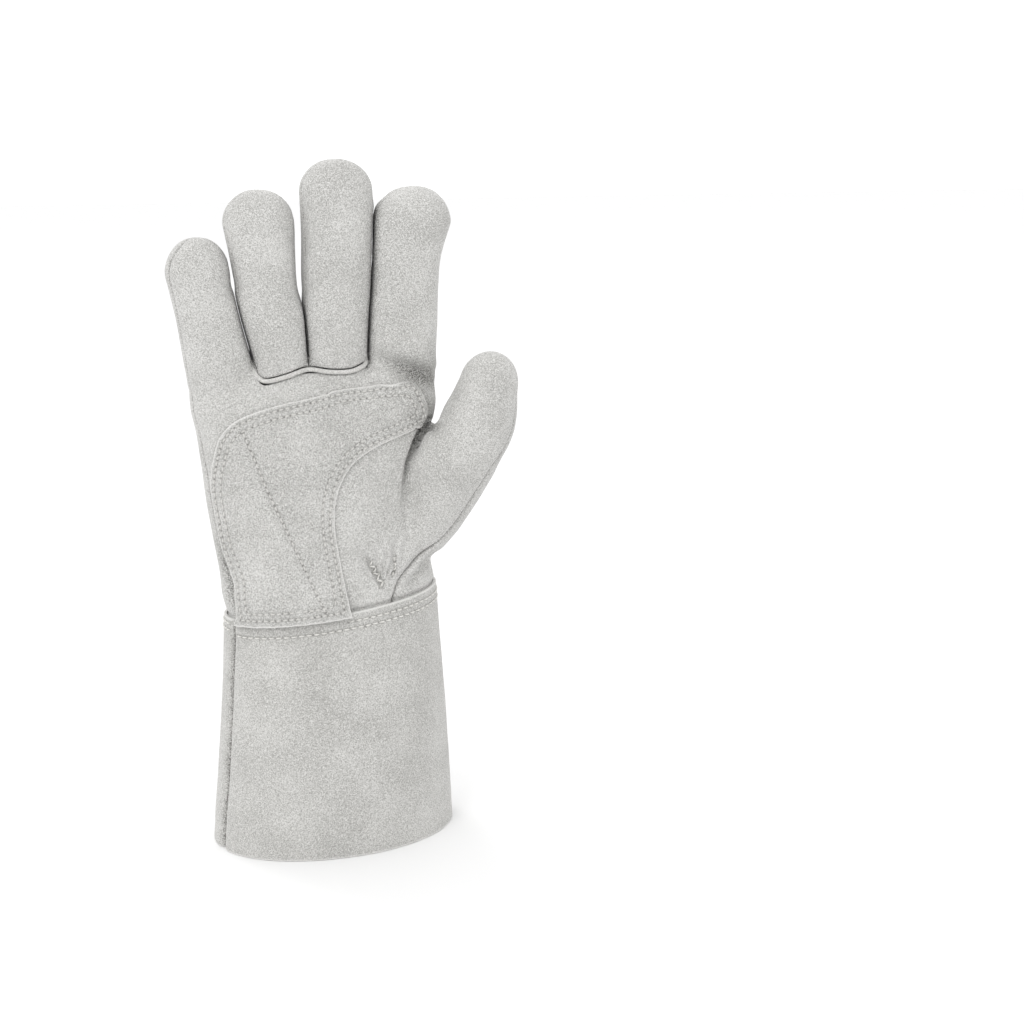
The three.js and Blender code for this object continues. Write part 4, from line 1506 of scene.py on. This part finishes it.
def sink(piece, count, seams, cut_border, swell=0.0):
    """Draws a sheet's outer side, its first points, in along its stitches, paints shade into its needle
    holes, and marks cut edges.
    """
    points, normals = points_of(piece), normals_of(piece)
    outer = np.arange(count)
    depth = np.zeros(count)
    hole_shade = np.zeros(len(points))
    if seams.holes:
        to_row = nearest(tree_of(np.concatenate(seams.lines)), points[outer])
        to_hole = nearest(tree_of(seams.holes), points[outer])
        depth = ROW_DEPTH * bell(to_row, ROW_HALF_WIDTH) + HOLE_DEPTH * bell(to_hole, HOLE_RADIUS)
        # Painted shade in the needle holes
        hole_shade[outer] = np.exp(-((to_hole / HOLE_SHADE_RADIUS) ** 4))
    mark(piece, "needle_hole", hole_shade)
    if len(cut_border):
        to_edge = nearest(tree_of(cut_border), points)
        mark(piece, "cut_edge", 1 - smoothstep(to_edge, *EDGE_MARK))
        depth = depth + EDGE_WEAR * np.clip(1 - to_edge[outer] / EDGE_WEAR_REACH, 0, 1) ** 2
        depth = depth - swell * bell(to_edge[outer] - SWELL_PLACE, SWELL_HALF_WIDTH)
    points[outer] -= normals[outer] * depth[:, None]
    set_points(piece, points)


def thread_finish(name, light, dark):
    """Off-white spun thread with a soft twist to it."""
    finish = Finish(name)
    place = finish.node("ShaderNodeTexCoord", output="Object")
    twist = finish.node(
        "ShaderNodeTexWave", {"bands_direction": "DIAGONAL"},
        {"Vector": place, "Scale": 700.0, "Distortion": 2.0},
    )
    uneven = finish.noise(place, scale=300.0, detail=2.0)
    colour = finish.blend(twist * 0.4 + uneven * 0.5, dark, light)
    bump = finish.node("ShaderNodeBump", None, {"Strength": 0.4, "Distance": 0.0002, "Height": twist})
    shader = finish.node(
        "ShaderNodeBsdfPrincipled", None,
        {"Base Color": colour, "Roughness": 0.75, "Specular IOR Level": 0.3, "Normal": bump},
    )
    finish.node("ShaderNodeOutputMaterial", None, {"Surface": shader})
    return finish.material


cuff_suede = suede("cuff suede", grey(207, 0.8), grey(150, 1.0))
white_thread = thread_finish("off-white thread", grey(228, 1.0), grey(202, 1.4))

# Rows of stitches below the cuff's top edge. They end just beside the turned seams, and the upper row of the
# palm side starts where the patch no longer covers it.
CUFF_ROWS = {"palm": [4.4, 7.9], "back": [2.8, 6.6]}
CUFF_ROW_END = 3.0
UPPER_ROW_FROM_X = 5.0
CUFF_THREAD_RISE = 0.12

for side_name in ("palm", "back"):
    sheet, seam_gap, down = cuff_sheet(side_name == "palm")
    rows, columns = sheet.shape[:2]
    flat = sheet.reshape(-1, 3)
    piece = new_object("cuff", flat, grid_faces(rows, columns))
    normals = normals_of(piece)
    below_top = np.repeat(down, columns)
    depth = roll_depth(seam_gap.ravel(), CUFF_ROLL, CUFF_DIP)
    free = smoothstep(below_top, *CUFF_WAVES_BEGIN)
    depth -= free * waves(flat, CUFF_WAVES)
    flat = flat - normals * depth[:, None]
    rough = np.array([abs(noise.noise(Vector(p * RIM_RHYTHM))) for p in flat[-columns:]])
    flat[-columns:, 2] = rough * RIM_ROUGHNESS
    set_points(piece, flat)
    surface = flat.reshape(rows, columns, 3)
    normals = normals_of(piece).reshape(rows, columns, 3)
    seams = Seam()
    for number, place in enumerate(CUFF_ROWS[side_name]):
        r = int(np.argmin(np.abs(down - place)))
        kept = seam_gap[r] > CUFF_ROW_END
        if side_name == "palm" and number == 0:
            kept &= surface[r, :, 0] > UPPER_ROW_FROM_X
        seams.sew(surface[r][kept], normals[r][kept], CUFF_PITCH, CUFF_THREAD_RISE)
    border = np.concatenate([surface[0], surface[-1]])
    count = len(flat)
    apply_modifier(piece, "SOLIDIFY", thickness=CUFF_WALL * MM, offset=-1.0)
    sink(piece, count, seams, border)
    points = points_of(piece)
    points[:, 2] = np.maximum(points[:, 2], 0)
    set_points(piece, points)
    # Painted shade along the cuff's two seams, uneven and stronger on the little finger's side
    to_seam = nearest(tree_of(np.concatenate([surface[:, 0], surface[:, -1]])), points_of(piece))
    uneven = 1 + waves(points_of(piece), CUFF_SHADE_WAVES)
    strength = np.where(points[:, 0] < 0, *CUFF_SHADES)
    mark(piece, "fold_shade", strength * bell(to_seam / CUFF_SEAM_SHADE, uneven))
    finish_piece(piece, f"cuff_{side_name}_panel", cuff_suede, angle=60)
    seams.make(f"cuff_{side_name}_stitches", white_thread)


# Palm patch
# A second layer of the same split leather on the palm, cut out round the thumb. It stops short of the side
# seam and laps over the top of the cuff. Its edge is raw, and two rows of stitches run all round inside it.
PATCH_LIFT = 0.25
PATCH_WALL = 1.3
PATCH_LAP = 2.0

# Height, and how far the patch stops short of the side seam
PATCH_SIDE_INSET = np.array([
    [120, 3.8],
    [142, 3.6],
    [155, 2.6],
    [167, 3.0],
    [190, 3.8],
    [230, 5.6],
])
PATCH_CORNER = 13.0
PATCH_CORNER_RISE = [165.0, 195.0]

# The lower edge curls off the cuff, and the patch lies on the hand again above these heights over that edge.
PATCH_CLEARANCE = 0.1
PATCH_CURL = 1.5
PATCH_CURL_REACH = 4.5
PATCH_REST = [PATCH_LAP + 1.5, PATCH_LAP + 16.0]
PATCH_SWELL = 0.35

# The rows stand this far from the edge, and a little further above the cuff.
PATCH_ROWS = [2.5, 6.2]
PATCH_BOTTOM_EXTRA = 0.6
PATCH_BOTTOM_FADE = [9.0, 17.0]
EDGE_STEP = 0.35
DIAGONAL = DIAGONAL_FURROW[:, :2]

# A shorter chain of points than this is a stray end and gets no stitches, and rays start this far in front.
SHORTEST_ROW = 30
IN_FRONT = -120.0

# Finer faces in two rounds: reach from the diagonal row, and bands of distance from the edge
PATCH_ROUNDS = ((2.0, [[0, 8.4]]), (1.2, [[0, 3.4], [5.4, 7.6]]))

# The outline is left open beyond the side seam and below the cuff's edge, where other cuts end the patch.
PATCH_BEYOND_SIDE = [[-90.0, 90.0], [-90.0, 188.0], [-70.0, 194.0]]
PATCH_BELOW_CUFF = [[7.4, 90.0]]
OUTLINE_POINTS = 120
OUTLINE_SKIPPED = 4
patch_outline = np.concatenate([
    PATCH_BEYOND_SIDE,
    curve(PATCH_TOP, OUTLINE_POINTS)[OUTLINE_SKIPPED:],
    curve(PATCH_THUMB_CURVE, OUTLINE_POINTS),
    PATCH_BELOW_CUFF,
])


def patch_bottom(x):
    """Height of the patch's lower edge."""
    return CUFF_TOP + CUFF_TOP_SLOPE * x - PATCH_LAP


def over_cuff(p, clearance):
    """Moves points out until they clear the outside of the cuff."""
    z, x, y, wide, front, back, turn, square = at(CUFF, p[:, 2])
    t = np.radians(turn)
    u = (p[:, 0] - x) * np.cos(t) + (p[:, 1] - y) * np.sin(t)
    v = -(p[:, 0] - x) * np.sin(t) + (p[:, 1] - y) * np.cos(t)
    depth = np.where(v < 0, front, back)
    size = (np.abs(u / wide) ** square + np.abs(v / depth) ** square) ** (1 / square)
    scale = np.maximum(1, (1 + clearance / np.hypot(u, v)) / size)
    u, v = u * scale, v * scale
    return np.stack([x + u * np.cos(t) - v * np.sin(t), y + u * np.sin(t) + v * np.cos(t), p[:, 2]], 1)


def patch_side(p):
    """Distance outside the patch's outline, with the corner rounded where its top edge meets the side."""
    inset = np.interp(p[:, 2], PATCH_SIDE_INSET[:, 0], PATCH_SIDE_INSET[:, 1])
    side = front_seam(p) + inset
    top = outside(patch_outline, p[:, [0, 2]])
    corner = PATCH_CORNER * smoothstep(p[:, 2], *PATCH_CORNER_RISE) * (p[:, 0] < 0)
    rounded = np.hypot(np.maximum(side + corner, 0), np.maximum(top + corner, 0)) - corner
    return np.where((side > -corner) & (top > -corner), rounded, np.maximum(side, top))


set_points(form, laid_points)
patch = bmesh.new()
patch.from_mesh(form.data)
patch_cuts = {
    "bottom": lambda p: patch_bottom(p[:, 0]) - p[:, 2],
    "outline": patch_side,
}
for name, value in patch_cuts.items():
    cut(patch, name, value)
    layer = patch.faces.layers.int[name]
    bmesh.ops.delete(patch, geom=[f for f in patch.faces if f[layer] > 0], context="FACES")


def border_points(shape):
    """Points along the open edge of a sheet."""
    return points_along([e for e in shape.edges if e.is_boundary], EDGE_STEP)


def edge_distance(shape):
    """Distance of each point from the patch's edge."""
    return nearest(tree_of(border_points(shape)), points_in(shape))


# Laid over the hand and the top of the cuff
points = points_in(patch)
patch.normal_update()
normals = np.array([v.normal for v in patch.verts])
points = points + normals * PATCH_LIFT
above_edge = points[:, 2] - patch_bottom(points[:, 0])
low = 1 - smoothstep(above_edge, *PATCH_REST)
clearance = PATCH_LIFT + PATCH_CLEARANCE + PATCH_CURL * (1 - smoothstep(above_edge, 0, PATCH_CURL_REACH))
points += (over_cuff(points, clearance) - points) * low[:, None]
for v, point in zip(patch.verts, (points + GLOVE_ORIGIN) * MM):
    v.co = point


def hit_from_front(tree, x, z):
    """Place and direction of a surface, straight behind a place in x and z."""
    start = (np.array([x, IN_FRONT, z]) + GLOVE_ORIGIN) * MM
    return tree.ray_cast(Vector(start), Vector((0, 1, 0)))[:2]


def on_front(tree, line, step=0.8):
    """Points and directions on a surface, straight behind a line in x and z."""
    count = int(np.linalg.norm(np.diff(line, axis=0), axis=1).sum() / step)
    found, ups = [], []
    for x, z in curve(line, max(count, 3)):
        place, up = hit_from_front(tree, x, z)
        if place is not None:
            found.append(np.array(place) / MM - GLOVE_ORIGIN)
            ups.append(np.array(up))
    ups = np.array(ups)
    if len(ups) > 4:
        ups[1:-1] = unit(ups[:-2] + ups[1:-1] + ups[2:])
    return np.array(found), ups


# The diagonal line of stitches, and finer faces along it and along the edge
diagonal_line, diagonal_ups = on_front(BVHTree.FromBMesh(patch), DIAGONAL)
diagonal_tree = tree_of(diagonal_line)
for reach, bands in PATCH_ROUNDS:
    gap = edge_distance(patch)
    wanted = nearest(diagonal_tree, points_in(patch)) < reach
    for low_end, high_end in bands:
        wanted |= (gap >= low_end) & (gap < high_end)
    marked = {v for v, yes in zip(patch.verts, wanted) if yes}
    edges = [e for e in patch.edges if e.verts[0] in marked and e.verts[1] in marked]
    bmesh.ops.subdivide_edges(patch, edges=edges, cuts=1, use_grid_fill=True)


def level_lines(shape, values, level):
    """Lines of equal value over a mesh, as chains of points with their normals."""
    number = {v: values[i] - level for i, v in enumerate(shape.verts)}
    crossing = {}
    for e in shape.edges:
        a, b = e.verts
        if (number[a] < 0) != (number[b] < 0):
            share = number[a] / (number[a] - number[b])
            place = np.array(a.co.lerp(b.co, share)) / MM - GLOVE_ORIGIN
            crossing[e] = (place, np.array(a.normal.lerp(b.normal, share)))
    links = {e: [] for e in crossing}
    for f in shape.faces:
        met = [e for e in f.edges if e in crossing]
        for a, b in zip(met[::2], met[1::2]):
            links[a].append(b)
            links[b].append(a)
    chains, seen = [], set()
    for start in sorted(crossing, key=lambda e: (len(links[e]) != 1, e.index)):
        if start in seen:
            continue
        chain, here = [], start
        while here is not None and here not in seen:
            seen.add(here)
            chain.append(crossing[here])
            here = next((e for e in links[here] if e not in seen), None)
        if len(chain) > SHORTEST_ROW:
            if len(links[start]) == 2:
                chain.append(chain[0])
            chains.append((np.array([c[0] for c in chain]), unit(np.array([c[1] for c in chain]))))
    return chains


def smoothed(line, rounds=12):
    """A line without the small kinks of the mesh that it was found on."""
    line = line.copy()
    for _ in range(rounds):
        line[1:-1] = (line[:-2] + 2 * line[1:-1] + line[2:]) / 4
    return line


patch.verts.index_update()
patch.edges.index_update()
patch.normal_update()
points = points_in(patch)
above_edge = points[:, 2] - patch_bottom(points[:, 0])
row_gap = edge_distance(patch) - PATCH_BOTTOM_EXTRA * (1 - smoothstep(above_edge, *PATCH_BOTTOM_FADE))
patch_seams = Seam()
for level in PATCH_ROWS:
    for line, ups in level_lines(patch, row_gap, level):
        patch_seams.sew(smoothed(line) + ups * PATCH_WALL, ups)
patch_seams.sew(diagonal_line + diagonal_ups * PATCH_WALL, diagonal_ups)
patch_border = border_points(patch)
for layer in list(patch.faces.layers.int.values()):
    patch.faces.layers.int.remove(layer)
mesh = bpy.data.meshes.new("palm_patch")
patch.to_mesh(mesh)
patch_piece = bpy.data.objects.new("palm_patch", mesh)
bpy.context.scene.collection.objects.link(patch_piece)
count = len(mesh.vertices)
patch_points = tree_of(points_of(patch_piece))
base_normals = normals_of(patch_piece)
outer_border = np.array([p + base_normals[patch_points.find(p)[1]] * PATCH_WALL for p in patch_border])
apply_modifier(patch_piece, "SOLIDIFY", thickness=PATCH_WALL * MM, offset=1.0)
sink(patch_piece, count, patch_seams, outer_border, PATCH_SWELL)
# Painted shade in the patch's folds
paint_fold_shade(patch_piece, FOLDS)
patch_suede = suede("patch suede", grey(208, 0.7), grey(146, 0.9))
finish_piece(patch_piece, "palm_patch", patch_suede, angle=60)
worn_thread = thread_finish("worn thread", grey(216, 0.8), grey(186, 1.2))
patch_seams.make("palm_patch_stitches", worn_thread)


# Tack
# On the ball of the thumb the leather is gathered by a small tack in the cuff's thread: a bold zigzag and a
# short bar, which meet in a V.
TACK_STEP = 1.7
TACK_SWING = np.array([0.9, 0.42])
TACK_RISE = 0.45
TACK_PITCH_SHARE = 0.99

# The middle line of each arm in x and z, and how far its thread swings to both sides
TACK_ARMS = [
    (np.array([[18.0, 150.8], [20.9, 144.8], [24.2, 138.0]]), 1.6),
    (np.array([[31.4, 151.5], [31.2, 145.5], [29.6, 142.0]]), 0.3),
]
thumb_piece = bpy.data.objects["thumb_front_leather"]
thumb_tree = BVHTree.FromObject(thumb_piece, bpy.context.evaluated_depsgraph_get())
tack = Seam()
for arm, swing in TACK_ARMS:
    length = np.linalg.norm(np.diff(arm, axis=0), axis=1).sum()
    corners = curve(arm, int(length / TACK_STEP))
    corners = corners + swing * (-1.0) ** np.arange(len(corners))[:, None] * TACK_SWING
    places, ups = [], []
    for x, z in corners:
        place, up = hit_from_front(thumb_tree, x, z)
        places.append(np.array(place) / MM - GLOVE_ORIGIN)
        ups.append(np.array(up))
    for i in range(len(places) - 1):
        pair = np.array(places[i:i + 2])
        one_stitch = TACK_PITCH_SHARE * np.linalg.norm(pair[1] - pair[0])
        tack.sew(pair, unit(np.array(ups[i:i + 2])), one_stitch, TACK_RISE)
sink(thumb_piece, len(thumb_piece.data.vertices) // 2, tack, [])
tack.make("thumb_tack_stitches", white_thread)


# Welt
# A narrow folded strip of pale leather, sewn into the seam at the base of the two middle fingers to keep the
# thread from wearing. Its ends turn up into the slits beside them.
WELT_HEIGHT = 1.15
WELT_DEPTH = 1.0
WELT_SUNK = 0.25
WELT_RINGS = 160
WELT_SIDES = 14
WELT_STEP = 0.6

# The ends are this thin, and are full after this many rings.
WELT_TIP = 0.45
WELT_TAPER = 12
WELT_ENDS = [
    np.array([[-1.0, 7.5, 6.6], [-0.9, 4.4, 4.0], [-0.6, 1.6, 1.7]]),
    np.array([[0.5, 1.8, 1.1], [0.9, 4.6, 3.0], [1.1, 7.5, 5.2]]),
]
form_tree = BVHTree.FromObject(form, bpy.context.evaluated_depsgraph_get())
welt_line = smoothed(on_front(form_tree, BASE_SEAM, WELT_STEP)[0], rounds=8)
welt_line = np.concatenate([welt_line[0] + WELT_ENDS[0], welt_line[1:-1], welt_line[-1] + WELT_ENDS[1]])
welt_line = curve(welt_line, WELT_RINGS)
ways = unit(np.gradient(welt_line, axis=0))
outwards = unit(np.array([[0, -1, 0]] - ways * (ways @ np.array([0, -1, 0]))[:, None]))
uprights = np.cross(outwards, ways)
welt_rings = []
for i, (point, out, up) in enumerate(zip(welt_line, outwards, uprights)):
    taper = min(1, WELT_TIP + min(i, WELT_RINGS - 1 - i) / WELT_TAPER)
    angles = (np.arange(WELT_SIDES) + 0.5) / WELT_SIDES * 2 * np.pi
    flat_round = np.outer(np.cos(angles), up) * WELT_HEIGHT + np.outer(np.sin(angles), out) * WELT_DEPTH
    welt_rings.append(point - out * WELT_SUNK + flat_round * taper)
welt_piece = loft("finger_base_welt", welt_rings)
turn_outwards(welt_piece)
welt_finish = suede("pale welt leather", grey(210, 0.8), grey(170, 1.0), nap=0.5)
finish_piece(welt_piece, "finger_base_welt", welt_finish)
bpy.data.objects.remove(form)


# Camera, light and floor
# A plain pale floor under soft studio light from all round, with the camera at the photo's angle.
camera = bpy.data.objects.new("camera", bpy.data.cameras.new("camera"))
bpy.context.scene.collection.objects.link(camera)
bpy.context.scene.camera = camera
camera.data.lens = 67.0
camera.data.sensor_width = 36.0
camera.data.clip_start = 0.05
camera.data.clip_end = 20.0
camera.location = (-0.112975, -0.942339, 0.40776)
aim = Vector((0.084595, -0.012849, 0.17083)) - camera.location
camera.rotation_mode = "QUATERNION"
camera.rotation_quaternion = aim.to_track_quat("-Z", "Y")

bpy.ops.mesh.primitive_plane_add(size=8.0, location=(0, 0, 0))
floor = bpy.context.active_object
floor.name = "floor"
floor_finish = Finish("pale floor")
floor_inputs = {"Base Color": (0.82, 0.82, 0.82, 1), "Roughness": 1.0}
floor_shader = floor_finish.node("ShaderNodeBsdfPrincipled", None, floor_inputs)
floor_finish.node("ShaderNodeOutputMaterial", None, {"Surface": floor_shader})
floor.data.materials.append(floor_finish.material)

LIT_POINT = Vector((0, 0, 0.17))
world = bpy.data.worlds.new("studio")
bpy.context.scene.world = world
world.use_nodes = True
world.node_tree.nodes["Background"].inputs["Color"].default_value = (1, 1, 1, 1)
world.node_tree.nodes["Background"].inputs["Strength"].default_value = 1.2


def lamp(name, place, size, watts):
    """A square soft light, turned to the middle of the glove."""
    light = bpy.data.lights.new(name, "AREA")
    light.shape = "SQUARE"
    light.size = size
    light.energy = watts
    holder = bpy.data.objects.new(name, light)
    bpy.context.scene.collection.objects.link(holder)
    holder.location = place
    holder.rotation_mode = "QUATERNION"
    holder.rotation_quaternion = (LIT_POINT - Vector(place)).to_track_quat("-Z", "Y")


lamp("key light", (-0.9, -1.2, 1.5), 0.8, 8.0)
lamp("back light", (-0.5, 1.1, 1.7), 0.7, 6.0)
bpy.context.scene.view_settings.view_transform = "Standard"
